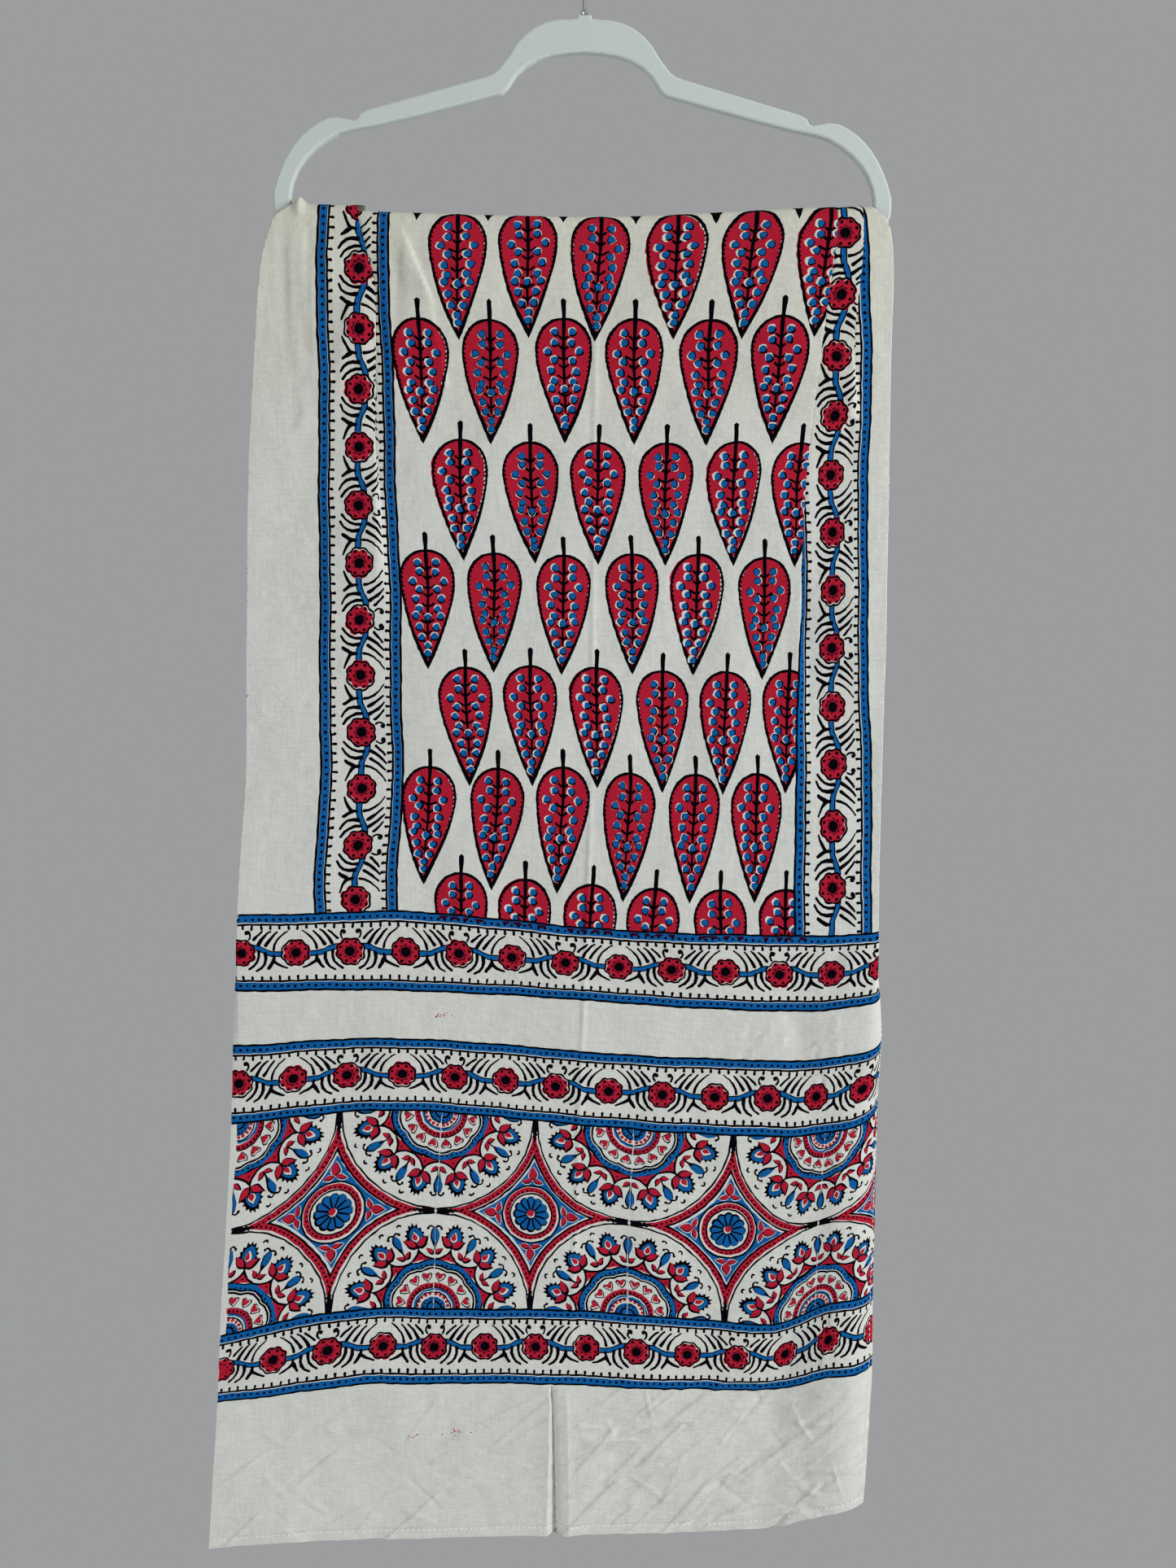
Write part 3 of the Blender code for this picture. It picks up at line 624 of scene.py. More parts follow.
def teardrop(base, tip, wide, count=7):
    """A pointed petal from base to tip, widest two fifths of the way."""
    base, tip = np.asarray(base, float), np.asarray(tip, float)
    run = tip - base
    side = np.array([-run[1], run[0]]) / np.linalg.norm(run)
    t = np.linspace(0.0, 1.0, count)[1:-1]
    half = wide / 2 * np.sin(pi * t ** 0.75)
    left = [base + run * a + side * h for a, h in zip(t, half)]
    right = [base + run * a - side * h for a, h in zip(t, half)]
    return np.array([base, *left, tip, *right[::-1]])


def leaf_half_width(t):
    """Half the leaf's width from its round top, t = 0, to its pointed tip, t = 1."""
    widest = 0.25
    top = np.sqrt(ramp(1 - ((widest - t) / widest) ** 2)) ** 0.92
    low = 1 - ramp((t - widest) / (1 - widest)) ** 1.65
    return LEAF_HALF * np.where(t < widest, top, low)


def leaf_outline(inset, wave=0.0, waves=0):
    """The leaf's outline, drawn in by inset, with an optional ripple."""
    t = np.concatenate([0.5 * (1 - np.cos(np.linspace(0, pi / 2, 9))) * 0.5, np.linspace(0.27, 1.0, 26)])
    half = np.maximum(leaf_half_width(t) - inset, 0.0)
    ripple = wave * np.sin(np.arange(len(t)) * waves)
    half = np.where(half > 1.0, half + ripple, half)
    s = inset + t * (LEAF_LONG - inset * 3.4)
    left = np.stack([-half, s], axis=1)
    right = np.stack([half, s], axis=1)
    return np.concatenate([right, left[-2:0:-1]])


# The dots of one leaf, from its midrib and top: in pairs, and down the middle
LEAF_DOTS = (
    (6.8, 9.9), (6.2, 16.9), (11.8, 23.6), (6.8, 29.6), (9.3, 37.1),
    (6.9, 44.2), (9.1, 49.2), (6.2, 57.2), (4.6, 64.7),
)
LEAF_MIDDLE_DOTS = (50.2, 71.0, 76.7)
CLOTH_DOT, BLACK_DOT, BLUE_DOT = 3.3, 3.3, 2.65


def draw_leaf(drawing, u, s, rng, cut=FRONT_LONG):
    """One leaf: red ground with a reserve round each blue dot, black outline, midrib and veins."""
    at = np.array([u, s])
    lean = rotation(rng.uniform(-0.03, 0.03))
    red_slip = np.array([rng.uniform(-1.7, 1.0), rng.uniform(-1.2, 0.9)])
    blue_slip = red_slip * 0.3 + rng.uniform(-0.6, 0.6, 2)

    def put(ink, points, slip=(0.0, 0.0), holes=()):
        limit = (CLOTH_WIDE, cut)
        rings = [np.minimum(ring @ lean.T + at + slip, limit) for ring in (points, *holes)]
        if np.ptp(rings[0][:, 1]) > 0.4:
            drawing.fill(ink, rings[0], rings[1:])

    put("red", leaf_outline(0.7, 0.4, 2.1), red_slip)
    put("black", leaf_outline(-0.2), holes=[leaf_outline(1.5)])
    for side in (-1, 1):
        for t in np.arange(0.08, 0.93, 0.037):
            half = float(leaf_half_width(np.array(t)))
            if half > 2.6:
                root = np.array([side * (half - 0.5), t * LEAF_LONG])
                put("black", stroke([root, root + (-side * 1.9, 0.7)], 1.25, 0.4))
    put("black", stroke([(0.0, -LEAF_STEM), (0.2, -2.0), (0.0, 30.0), (0.0, 66.0)], 1.9, 0.8))
    spots = [(side * dx, dy) for dx, dy in LEAF_DOTS for side in (-1, 1)]
    spots += [(0.0, dy) for dy in LEAF_MIDDLE_DOTS]
    for dx, dy in spots:
        spot = np.array([dx, dy]) + rng.uniform(-0.5, 0.5, 2)
        turn = rng.uniform(0, 6)
        if dx:
            start = np.array([dx * 0.5, dy + 2.6])
            put("black", stroke([start, (0.0, dy + 5.4)], 0.95, 0.8))
        count = drawing.points(9)
        put("cloth", lobed(spot, CLOTH_DOT, 0.6, 5, count, turn, 1.0), red_slip)
        put("black", lobed(spot + (0.3, 0.3), BLACK_DOT, 0.9, 3, count, turn, 1.0), blue_slip * 0.2)
        put("blue", lobed(spot, BLUE_DOT, 0.9, 3, count, turn, 1.0), blue_slip)


def draw_flower(drawing, place, rng):
    """One eight-petalled flower of the borders, in the border's own (along, across)."""
    slip = rng.uniform(-1.5, 1.5, 2)
    turn = rng.uniform(-0.08, 0.08) + pi / 8
    origin = np.zeros(2)
    outer = lobed(origin, 11.7, 1.7, 8, drawing.points(40), turn)
    place("cloth", outer)
    place("red", lobed(slip, 11.0, 1.6, 8, drawing.points(32), turn))
    place("black", outer, [lobed(origin, 10.1, 1.7, 8, drawing.points(40), turn)])
    for i in range(8):
        spot = rotation(turn + i * pi / 4) @ (8.3, 0.0)
        place("black", disc(spot, 1.35, 6))
    place("black", star_outline(origin, 6.0, 4.5, 8, turn + pi / 8))
    place("red", star_outline(slip * 0.3, 4.9, 4.2, 8, turn + pi / 8))
    place("dark", disc(slip * 0.5, 4.1, drawing.points(12)))
    place("black", disc(slip * 0.5, 3.4, drawing.points(12)))


def draw_border(drawing, to_flat, start, stop, first_a, rng):
    """A border from start to stop along itself; first_a is where one of its A flowers stands."""

    def place(ink, points, holes=()):
        rings = [to_flat(np.asarray(ring, float)) for ring in (points, *holes)]
        drawing.fill(ink, rings[0], rings[1:])

    runs = np.linspace(start, stop, max(3, int((stop - start) / 7)))
    place("cloth", band_outline(runs, -BORDER_HALF + 6.0, BORDER_HALF - 6.0))
    for side in (-1, 1):
        draw_stripe(place, runs, side, rng)
    place_vine(place, runs, first_a)
    count = int((stop - start) / FLOWER_PITCH) + 4
    for i in range(-count, count):
        shift = np.array([first_a + i * FLOWER_PITCH, 0.0])
        if start - FLOWER_PITCH < shift[0] < stop + FLOWER_PITCH:
            def put(ink, points, holes=(), m=shift):
                moved = np.asarray(points, float) + m
                if start + 0.5 < moved[:, 0].min() and moved[:, 0].max() < stop - 0.5:
                    place(ink, moved, [np.asarray(hole) + m for hole in holes])
                elif len(moved) > 12 and start < moved[:, 0].mean() < stop:
                    moved[:, 0] = np.clip(moved[:, 0], start, stop)
                    box = ((start, -40), (stop, 40))
                    place(ink, moved, [np.clip(np.asarray(hole) + m, *box) for hole in holes])

            if i % 2 == 0:
                draw_sprays(put, rng)
            draw_flower(drawing, put, rng)


def band_outline(runs, low, high, ripple=0.0):
    """A long strip between two distances across, with points every few millimetres."""
    wave = ripple * np.sin(runs * 0.37)
    bottom = np.stack([runs, low + wave], axis=1)
    top = np.stack([runs, high + wave], axis=1)
    return np.concatenate([bottom, top[::-1]])


# A stripe's lines, measured from its border's middle, and the pitch of its dots and ticks
STRIPE_OUT, STRIPE_BLUE_OUT, STRIPE_BLUE_IN, STRIPE_IN, TICK_END = 31.4, 29.5, 24.0, 22.0, 19.2
STRIPE_DOT_PITCH, TICK_PITCH = 5.2, 6.9


def draw_stripe(place, runs, side, rng):
    """The blue stripe at one side of a border: black edges, dots along it, and ticks inward."""
    span = lambda low, high: band_outline(runs, *sorted((side * low, side * high)))
    slip = rng.uniform(-0.35, 0.25)
    place("black", span(STRIPE_OUT, STRIPE_BLUE_OUT))
    place("black", span(STRIPE_BLUE_IN - 0.3, STRIPE_IN))
    place("blue", span(STRIPE_BLUE_OUT + 0.2 + slip, STRIPE_BLUE_IN + 0.2 + slip))
    middle = side * (STRIPE_BLUE_OUT + STRIPE_BLUE_IN) / 2
    for a in np.arange(runs[0] + 2, runs[-1] - 1, STRIPE_DOT_PITCH):
        place("black", disc((a, middle + rng.uniform(-0.3, 0.3)), rng.uniform(1.1, 1.4), 6))
    for a in np.arange(runs[0] + 3, runs[-1] - 1, TICK_PITCH):
        reach = TICK_END + rng.uniform(-0.5, 0.7)
        tip = (a + rng.uniform(-0.4, 0.4), side * reach)
        place("black", stroke([(a, side * (STRIPE_IN + 0.3)), tip], 0.8, 1.2))


def place_vine(place, runs, first_a):
    """The blue stem that winds from flower to flower."""
    fine = np.linspace(runs[0], runs[-1], max(4, int((runs[-1] - runs[0]) / 3.2)))
    off = np.abs((fine - first_a + FLOWER_PITCH) % (2 * FLOWER_PITCH) - FLOWER_PITCH)
    middle = monotone((0.0, 11.0, 24.0, 31.0, FLOWER_PITCH), (4.4, 4.2, -0.8, -1.0, -3.0), off)
    half = 1.5
    for ink, extra in (("black", 1.05), ("blue", 0.0)):
        low = np.stack([fine, middle - half - extra], axis=1)
        high = np.stack([fine, middle + half + extra], axis=1)
        place(ink, np.concatenate([low, high[::-1]]))


# The strokes beside an A flower, each from its foot through its bend to its tip, with its two widths
Spray = namedtuple("Spray", "foot bend tip wide end")
SPRAYS = (
    Spray((9.6, 10.2), (12.0, 13.4), (17.0, 17.4), 1.1, 0.9),
    Spray((13.6, 6.4), (17.2, 14.0), (22.8, 18.0), 1.5, 0.7),
    Spray((19.0, 5.6), (23.0, 12.4), (27.8, 17.2), 1.5, 0.7),
    Spray((25.0, 2.6), (25.0, 10.6), (36.0, 18.0), 1.2, 0.6),
    Spray((13.8, 1.3), (15.0, -8.4), (6.2, -13.4), 1.3, 1.0),
    Spray((18.6, -0.4), (20.6, -11.0), (11.6, -14.6), 1.5, 0.9),
    Spray((25.2, -2.0), (25.4, -5.0), (25.0, -6.4), 1.0, 1.6),
    Spray((25.0, -6.2), (23.6, -9.0), (20.8, -12.9), 1.6, 1.2),
    Spray((25.0, -6.2), (28.4, -9.6), (35.6, -12.2), 1.6, 0.8),
    Spray((6.0, 10.8), (8.6, 13.6), (6.9, 16.4), 0.8, 0.9),
    Spray((6.9, 16.4), (5.8, 17.3), (4.8, 15.6), 1.1, 1.9),
)


def draw_sprays(put, rng):
    """The fine curved strokes on both sides of an A flower, and the two curls over it."""
    for side in (-1, 1):
        for spray in SPRAYS:
            ends = [np.array(p) * (side, 1.0) + rng.uniform(-0.3, 0.3, 2) for p in spray[:3]]
            put("black", stroke(bow(*ends, 5), spray.wide, spray.end))


def star_side(half, radius, count=9):
    """The four-pointed outline left between circles of this radius about a square's corners."""
    first = np.arccos(min(half / radius, 1.0))
    last = pi / 2 - first
    points = []
    for corner in range(4):
        spin = rotation(corner * pi / 2)
        for angle in np.linspace(last, first, count):
            local = np.array([-half + radius * cos(angle), -half + radius * sin(angle)])
            points.append(spin @ local)
    return np.array(points)


# A star's bar between two roundels, which covers the join of two blocks
STAR_BAR = ((-0.7, 61.0), (-1.9, 70.0), (-1.9, 77.4), (1.9, 77.4), (1.9, 70.0), (0.7, 61.0))


def draw_panel_block(drawing, centre, half_wide, half_tall, rng):
    """One square of the panel: a four-pointed star between quarter roundels."""
    half = 78.0
    scale = np.array([half_wide / half, half_tall / half])
    slip = {"red": rng.uniform(-0.8, 0.8, 2), "blue": rng.uniform(-0.8, 0.8, 2)}

    def place(ink, points, holes=()):
        move = slip.get(ink, np.zeros(2)) + centre
        drawing.fill(ink, np.asarray(points) * scale + move, [np.asarray(h) * scale + move for h in holes])

    place("black", star_side(half, 75.7), [star_side(half, 77.1)])
    place("red", star_side(half, 78.2), [star_side(half, 82.8)])
    for corner in range(4):
        spin = rotation(corner * pi / 2)
        for angle in np.arange(0.15, pi / 2 - 0.12, 0.05):
            spot = spin @ (-half + 80.2 * cos(angle), -half + 80.2 * sin(angle))
            place("black", disc(spot, 1.1, 5))
    place("black", star_side(half, 82.5), [star_side(half, 84.1)])
    place("blue", star_side(half, 85.2))
    for i in range(4):
        place("black", np.array(STAR_BAR) @ rotation(i * pi / 2).T)
    draw_star_middle(drawing, place)
    for flip_x in (-1, 1):
        for flip_y in (-1, 1):
            flip = np.array([flip_x, flip_y])
            corner = lambda ink, points, holes=(), f=flip: place(
                ink, (half - np.asarray(points)) * f, [(half - np.asarray(h)) * f for h in holes])
            draw_roundel(drawing, corner)


def draw_star_middle(drawing, place):
    """The ring and flower at the star's middle, and a trefoil in each of its arms."""
    centre = np.zeros(2)
    ring = drawing.points(40)
    place("black", disc(centre, 24.0, ring))
    place("cloth", disc(centre, 22.5, ring))
    place("red", disc(centre, 21.4, ring), [disc(centre, 17.3, ring)])
    for angle in np.arange(0, 2 * pi, pi / 16):
        place("black", disc(rotation(angle) @ (19.3, 0.0), 1.05, 5))
    place("black", disc(centre, 17.6, ring), [disc(centre, 16.2, ring)])
    place("black", lobed(centre, 14.7, 1.5, 12, 48))
    place("blue", lobed(centre, 13.5, 1.5, 12, 48))
    for i in range(12):
        turn = rotation((i + 0.5) * pi / 6)
        place("black", stroke([turn @ (3.6, 0.0), turn @ (11.8, 0.0)], 0.75))
    place("black", disc(centre, 3.6, 8))
    place("cloth", disc(centre, 3.1, 10))
    place("red", disc(centre, 2.7, 10))
    for i in range(4):
        spin = rotation(i * pi / 2)
        for ink, grow in (("cloth", 1.0), ("black", 0.35), ("red", 0.0)):
            place(ink, teardrop(spin @ (0.0, 28.0 - grow), spin @ (0.0, 38.4 + grow), 6.4 + 2 * grow))
            for side in (-1, 1):
                foot = spin @ (0.4 * side, 27.6)
                tip = spin @ (8.4 * side + side * grow, 25.4 - grow * 0.4)
                place(ink, teardrop(foot, tip, 3.4 + 2 * grow))


def draw_roundel(drawing, place):
    """A quarter of a round medallion about the block's corner: rings, hearts, scallops, lotuses."""
    quarter = np.linspace(0.0, pi / 2, drawing.points(25))

    def sector(outer, inner, wave=0.0, lobes=0):
        bump = wave * np.abs(np.sin(lobes * quarter))
        far, near = (round_points(quarter, radius + bump) for radius in (outer, inner))
        return np.concatenate([far, near[::-1]])

    def spot(radius, angle):
        return np.array([cos(angle), sin(angle)]) * radius

    def ring_of(count, radius, size, ink="black", sides=5):
        for i in range(count):
            place(ink, disc(spot(radius, (i + 0.5) / count * pi / 2), size, sides))

    place("black", sector(9.6, 0.5))
    place("blue", sector(4.4, 1.0))
    place("blue", sector(9.0, 6.0))
    ring_of(4, 7.5, 0.8)
    ring_of(5, 11.6, 1.45, "red", 7)
    place("black", sector(14.1, 12.9))
    place("blue", sector(16.0, 14.4))
    place("black", sector(21.2, 16.6))
    place("red", sector(20.6, 17.0))
    ring_of(9, 18.7, 1.1)
    for i in range(4):
        draw_heart(drawing, place, 26.3, radians(10.5 + 23 * i))
    place("black", sector(32.0, 30.4, 1.9, 5))
    place("black", sector(38.8, 32.6, 2.0, 5))
    place("blue", sector(37.2, 33.4, 2.0, 5))
    ring_of(14, 35.6, 1.0)
    for i in range(3):
        angle, wide = radians(15 + 30 * i), radians(14.6)
        tip = spot(48.0, angle)
        feet = [spot(40.2, angle - wide), spot(39.4, angle), spot(40.2, angle + wide)]
        inner = bow(feet[0], spot(41.6, angle - wide * 0.3), tip, 5)
        outer = bow(tip, spot(41.6, angle + wide * 0.3), feet[2], 5)
        cusp = np.maximum(np.concatenate([inner, outer[1:], [feet[1]]]), 0.0)
        place("red", cusp)
        place("black", stroke(inner, 0.85))
        place("black", stroke(outer, 0.85))
        place("black", disc(spot(42.0, angle), 0.9, 5))
        draw_lotus(place, 58.5, angle)
    for i in range(4):
        draw_bud(place, 57.0, i * pi / 6)


def draw_heart(drawing, place, radius, angle):
    middle = np.array([cos(angle), sin(angle)]) * radius
    spin = rotation(angle - pi / 2)
    t = np.linspace(0, 2 * pi, drawing.points(12), endpoint=False)
    up = 0.86 * np.cos(t) - 0.33 * np.cos(2 * t) - 0.12 * np.cos(3 * t)
    heart = np.stack([np.sin(t) ** 3, up], axis=1)
    for ink, size in (("black", (4.6, 4.5)), ("cloth", (3.4, 3.3)), ("red", (3.1, 3.0))):
        place(ink, heart * size @ spin.T + middle)


def draw_lotus(place, radius, angle):
    """A spiky blue bloom with a red heart and two red sepals, pointing outward."""
    spin = rotation(angle - pi / 2)
    origin = np.array([cos(angle), sin(angle)]) * radius
    put = lambda ink, points: place(ink, np.asarray(points) @ spin.T + origin)
    tips = 15
    t = np.linspace(0, 2 * pi, 2 * tips, endpoint=False)
    reach = np.where((np.arange(2 * tips) % 2 == 0) & (np.cos(t) > -0.6), 1.42, 1.08)
    bloom = np.stack([np.sin(t) * 5.9, np.cos(t) * 6.3 + 1.7 * np.cos(t) ** 3], axis=1)
    put("black", bloom * reach[:, None] * 1.04)
    put("blue", bloom[::2] * 0.92)
    put("black", teardrop((0, -4.6), (0, 5.4), 7.2))
    put("cloth", teardrop((0, -3.9), (0, 4.7), 6.0))
    put("red", teardrop((0, -3.4), (0, 3.2), 4.2))
    put("black", stroke([(0, -6.0), (0, -12.5)], 0.8))
    for side in (-1, 1):
        put("black", teardrop((0.1 * side, -8.8), (10.4 * side, -0.6), 7.0))
        put("red", teardrop((0.9 * side, -7.6), (9.0 * side, -1.2), 5.0))


def draw_bud(place, radius, angle):
    """A long blue bud with a small red sprout below it."""
    spin = rotation(angle - pi / 2)
    origin = np.array([cos(angle), sin(angle)]) * radius

    def put(ink, points):
        moved = np.asarray(points) @ spin.T + origin
        place(ink, np.maximum(moved, 0.0))

    put("black", teardrop((0, 9.2), (0, -8.0), 6.8))
    put("blue", teardrop((0, 8.0), (0, -6.8), 5.0))
    put("black", stroke([(0, -3.0), (0, -11.6)], 0.7))
    for side in (-1, 1):
        put("black", teardrop((0, -13.0), (6.4 * side, -8.0), 4.4, 6))
        put("red", teardrop((0.4 * side, -12.2), (5.6 * side, -8.4), 3.0, 6))
        put("black", stroke(bow((0, 8.0), (3.4 * side, 11.0), (4.8 * side, 7.6), 5), 0.75))
        put("black", disc((4.9 * side, 7.4), 1.3, 5))
        if angle not in (0.0, pi / 2):
            put("black", stroke(bow((6.0 * side, 13.0), (8.0 * side, 15.4), (9.4 * side, 12.4), 4), 0.8))


# The tops of the front's rows of leaves, and the pitch of the rows that run on over the bar
LEAF_ROWS = (2.5, 77.5, 162.5, 244.0, 327.0, 401.0, 479.0)
LEAF_ROW_PITCH = 81.5
BACK_DETAIL = 0.65


def draw_field(drawing, rng):
    """Rows of leaves, every other row shifted by half a leaf, tips towards the front hem."""
    for row in range(-7, 7):
        top = LEAF_ROWS[row] if row >= 0 else LEAF_ROWS[0] + 1.0 + row * LEAF_ROW_PITCH
        drawing.detail = 1.0 if row >= 0 else BACK_DETAIL
        first, pitch = (174.5, 50.7) if row % 2 == 0 else (146.8, 51.5)
        for u in (first + pitch * k for k in range(6)):
            jitter = rng.uniform(-1.0, 1.0, 2) * (1.1, 1.6)
            draw_leaf(drawing, u + jitter[0], top + jitter[1], rng, BAND1 + 3.6)


def across_border(middle):
    """Places a border that runs down the cloth, its curls to the right."""
    return lambda points: np.stack([middle + points[:, 1], points[:, 0]], axis=1)


def along_border(middle, down, share):
    """Places a border that runs across the cloth, its curls towards the bar, drawn in to a share."""
    return lambda points: np.stack([points[:, 0] * share, middle - down * points[:, 1]], axis=1)


# The edges of the panel's blocks, and each band's top, the place of one flower and its share
PANEL_EDGES = (4.0, 162.0, 318.0, 473.5, 629.0)
BANDS = ((BAND1, 7.8, 1.0), (BAND2, 5.6, 1.0), (BAND3, 2.0, 0.976))


def draw_end(drawing, hem, down, rng):
    """One end of the cloth: three flower bands and the panel, placed from its hem."""
    from_hem = lambda along: hem - down * (FRONT_LONG - along)
    clear = sorted((from_hem(BAND1 + 5.5), hem))
    paper = [(0, clear[0]), (CLOTH_WIDE, clear[0]), (CLOTH_WIDE, clear[1]), (0, clear[1])]
    drawing.fill("cloth", paper)
    panel_middle = from_hem((PANEL + BAND3) / 2)
    for left, right in zip(PANEL_EDGES, PANEL_EDGES[1:]):
        centre = np.array([(left + right) / 2, panel_middle])
        draw_panel_block(drawing, centre, (right - left) / 2 - 0.4, (BAND3 - PANEL) / 2, rng)
    for top, phase, share in BANDS:
        middle = from_hem(top + BORDER_HALF)
        draw_border(drawing, along_border(middle, down, share), 0.0, CLOTH_WIDE / share, phase, rng)


# Groups of stray specks of red: the flat place of each, its size, and how many
STRAY_SPECKS = (
    ((160.6, 593.0), (6.0, 3.0), 14),
    ((184.0, 934.0), (14.0, 5.0), 16),
    ((150.0, 936.0), (9.0, 4.0), 6),
)


def draw_print():
    drawing = Drawing()
    rng = np.random.default_rng(PRINT_SEED)
    draw_field(drawing, rng)
    field_top = -(BACK_LONG - (FRONT_LONG - BAND1))
    drawing.detail = 1.0
    for middle, first in ((BORDER_OUT + BORDER_HALF, 45.0), (BORDER2_OUT - BORDER_HALF + 0.3, 62.0)):
        low, high = middle - BORDER_HALF, middle + BORDER_HALF
        paper = [(low, field_top), (high, field_top), (high, BAND1), (low, BAND1)]
        drawing.fill("cloth", paper)
        draw_border(drawing, across_border(middle), field_top, BAND1 + 1.0, first, rng)
    draw_end(drawing, FRONT_LONG, 1.0, rng)
    for (u, s), (wide, tall), count in STRAY_SPECKS:
        for _ in range(count):
            spot = np.array([u, s]) + rng.normal(0.0, 0.5, 2) * (wide, tall)
            drawing.fill("red", disc(spot, rng.uniform(0.35, 0.9), 6, rng.uniform(0.5, 1.0)))
    drawing.detail = BACK_DETAIL
    draw_end(drawing, -BACK_LONG, -1.0, rng)
    return drawing


def carrying_points():
    """Plain points that let the sheet follow its folds: a grid, and rows along each tight bend."""
    points = []
    for low, high, step in GRIDS:
        u = np.linspace(0.0, CLOTH_WIDE, int(CLOTH_WIDE / step) + 1)
        s = np.linspace(low, high, int((high - low) / step) + 1)
        points.append(np.stack(np.meshgrid(u, s), axis=2).reshape(-1, 2))
    near = np.array([a for a in np.arange(-18.0, 18.1, 1.5) if abs(a) > 0.1] + [0.0])
    points.append(np.stack(np.meshgrid(u, near), axis=2).reshape(-1, 2))
    for front, folds, long in ((True, FRONT_FOLDS, FRONT_LONG), (False, BACK_FOLDS, BACK_LONG)):
        along = np.arange(0.5, long, 3.0)
        side = along if front else -along
        left, left_bend = column(folds, "left", along), column(folds, "left_bend", along)
        right, right_bend = column(folds, "right", along), column(folds, "right_bend", along)
        for share in np.linspace(-0.2, 1.2, 8):
            points.append(np.stack([left - left_bend * share, side], axis=1))
            points.append(np.stack([CLOTH_WIDE - right + right_bend * share, side], axis=1))
        for start, hidden in (
            (monotone(TUCK_ALONG, TUCK_START, along), column(folds, "tuck", along)),
            (np.full_like(along, OVERLAP_START), column(folds, "lap", along)),
            (np.full_like(along, SIDE_START), monotone(SIDE_ALONG, SIDE_HIDDEN, along)),
        ):
            bend, flat, _ = fold_plan(hidden)
            kept = hidden > 0.3
            for share in np.linspace(-0.2, 1.2, 7):
                points.append(np.stack([start + bend * share, side], axis=1)[kept])
                points.append(np.stack([start + bend + flat + bend * share, side], axis=1)[kept])
    along = np.arange(BAND3_END - 6.0, FRONT_LONG, 3.0)
    share = ramp((along - BAND3_END) / (FRONT_LONG - BAND3_END))
    for line in (FLAP_EDGE, GROOVE, RIDGE):
        for off in (-2.4, -0.7, 0.0, 0.7, 2.4):
            points.append(np.stack([between(line, share) + off, along], axis=1))
    for u, s in (
        (np.arange(128.0, 200.0, 2.0), np.arange(11.0, 150.0, 2.0)),
        (np.arange(0.0, CLOTH_WIDE, GRID_STEP), np.arange(24.0, 60.0, 1.5)),
        (np.arange(CREASE - 6.0, CREASE + 6.5, 1.5), np.arange(10.0, BAND3_END, GRID_STEP)),
        (np.arange(30.0, 62.0, 2.0), np.arange(-16.0, 16.0, 1.5)),
    ):
        points.append(np.stack(np.meshgrid(u, s), axis=2).reshape(-1, 2))
    every = np.concatenate(points)
    inside = (every[:, 0] >= 0) & (every[:, 0] <= CLOTH_WIDE)
    inside &= (every[:, 1] >= -BACK_LONG) & (every[:, 1] <= FRONT_LONG)
    return every[inside]


SECTIONS = (
    ("cloth_back_lower", -BACK_LONG, -640.0),
    ("cloth_back_middle", -640.0, -310.0),
    ("cloth_back_upper", -310.0, 0.0),
    ("cloth_front_upper", 0.0, 350.0),
    ("cloth_front_middle", 350.0, 690.0),
    ("cloth_front_lower", 690.0, FRONT_LONG),
)


def slivers(corners):
    """Which triangles have all three corners on one outer edge, so that they have no area."""
    flat_out = np.zeros(len(corners), bool)
    for axis, limits in ((0, (0.0, CLOTH_WIDE)), (1, (-BACK_LONG, FRONT_LONG))):
        for limit in limits:
            flat_out |= (np.abs(corners[:, :, axis] - limit) < 0.02).all(axis=1)
    return flat_out


def cut_sheet(drawing):
    """(flat points, triangles, ink of each triangle) of the sheet cut along the print."""
    plain = carrying_points()
    points, edges = list(plain), []
    for ring in drawing.rings():
        first = len(points)
        points.extend(ring)
        steps = range(first, first + len(ring))
        edges += [(i, i + 1) for i in steps[:-1]] + [(steps[-1], first)]
    for _, _, stop in SECTIONS[:-1]:
        first = len(points)
        row = np.linspace(0.0, CLOTH_WIDE, int(CLOTH_WIDE / GRID_STEP) + 1)
        points.extend(np.stack([row, np.full_like(row, stop)], axis=1))
        edges += [(i, i + 1) for i in range(first, first + len(row) - 1)]
    found = delaunay_2d_cdt([Vector(p) for p in points], edges, [], 0, 1e-4, False)
    flat = np.array([tuple(v) for v in found[0]])
    triangles = np.array(found[2])
    triangles = triangles[~slivers(flat[triangles])]
    return flat, triangles, drawing.paint(flat[triangles].mean(axis=1))


def srgb(red, green, blue):
    """A colour given as 0 to 255 screen values, as the linear values that materials use."""
    values = [c / 255 for c in (red, green, blue)]
    linear = [((c + 0.055) / 1.055) ** 2.4 if c > 0.04045 else c / 12.92 for c in values]
    return (*linear, 1.0)


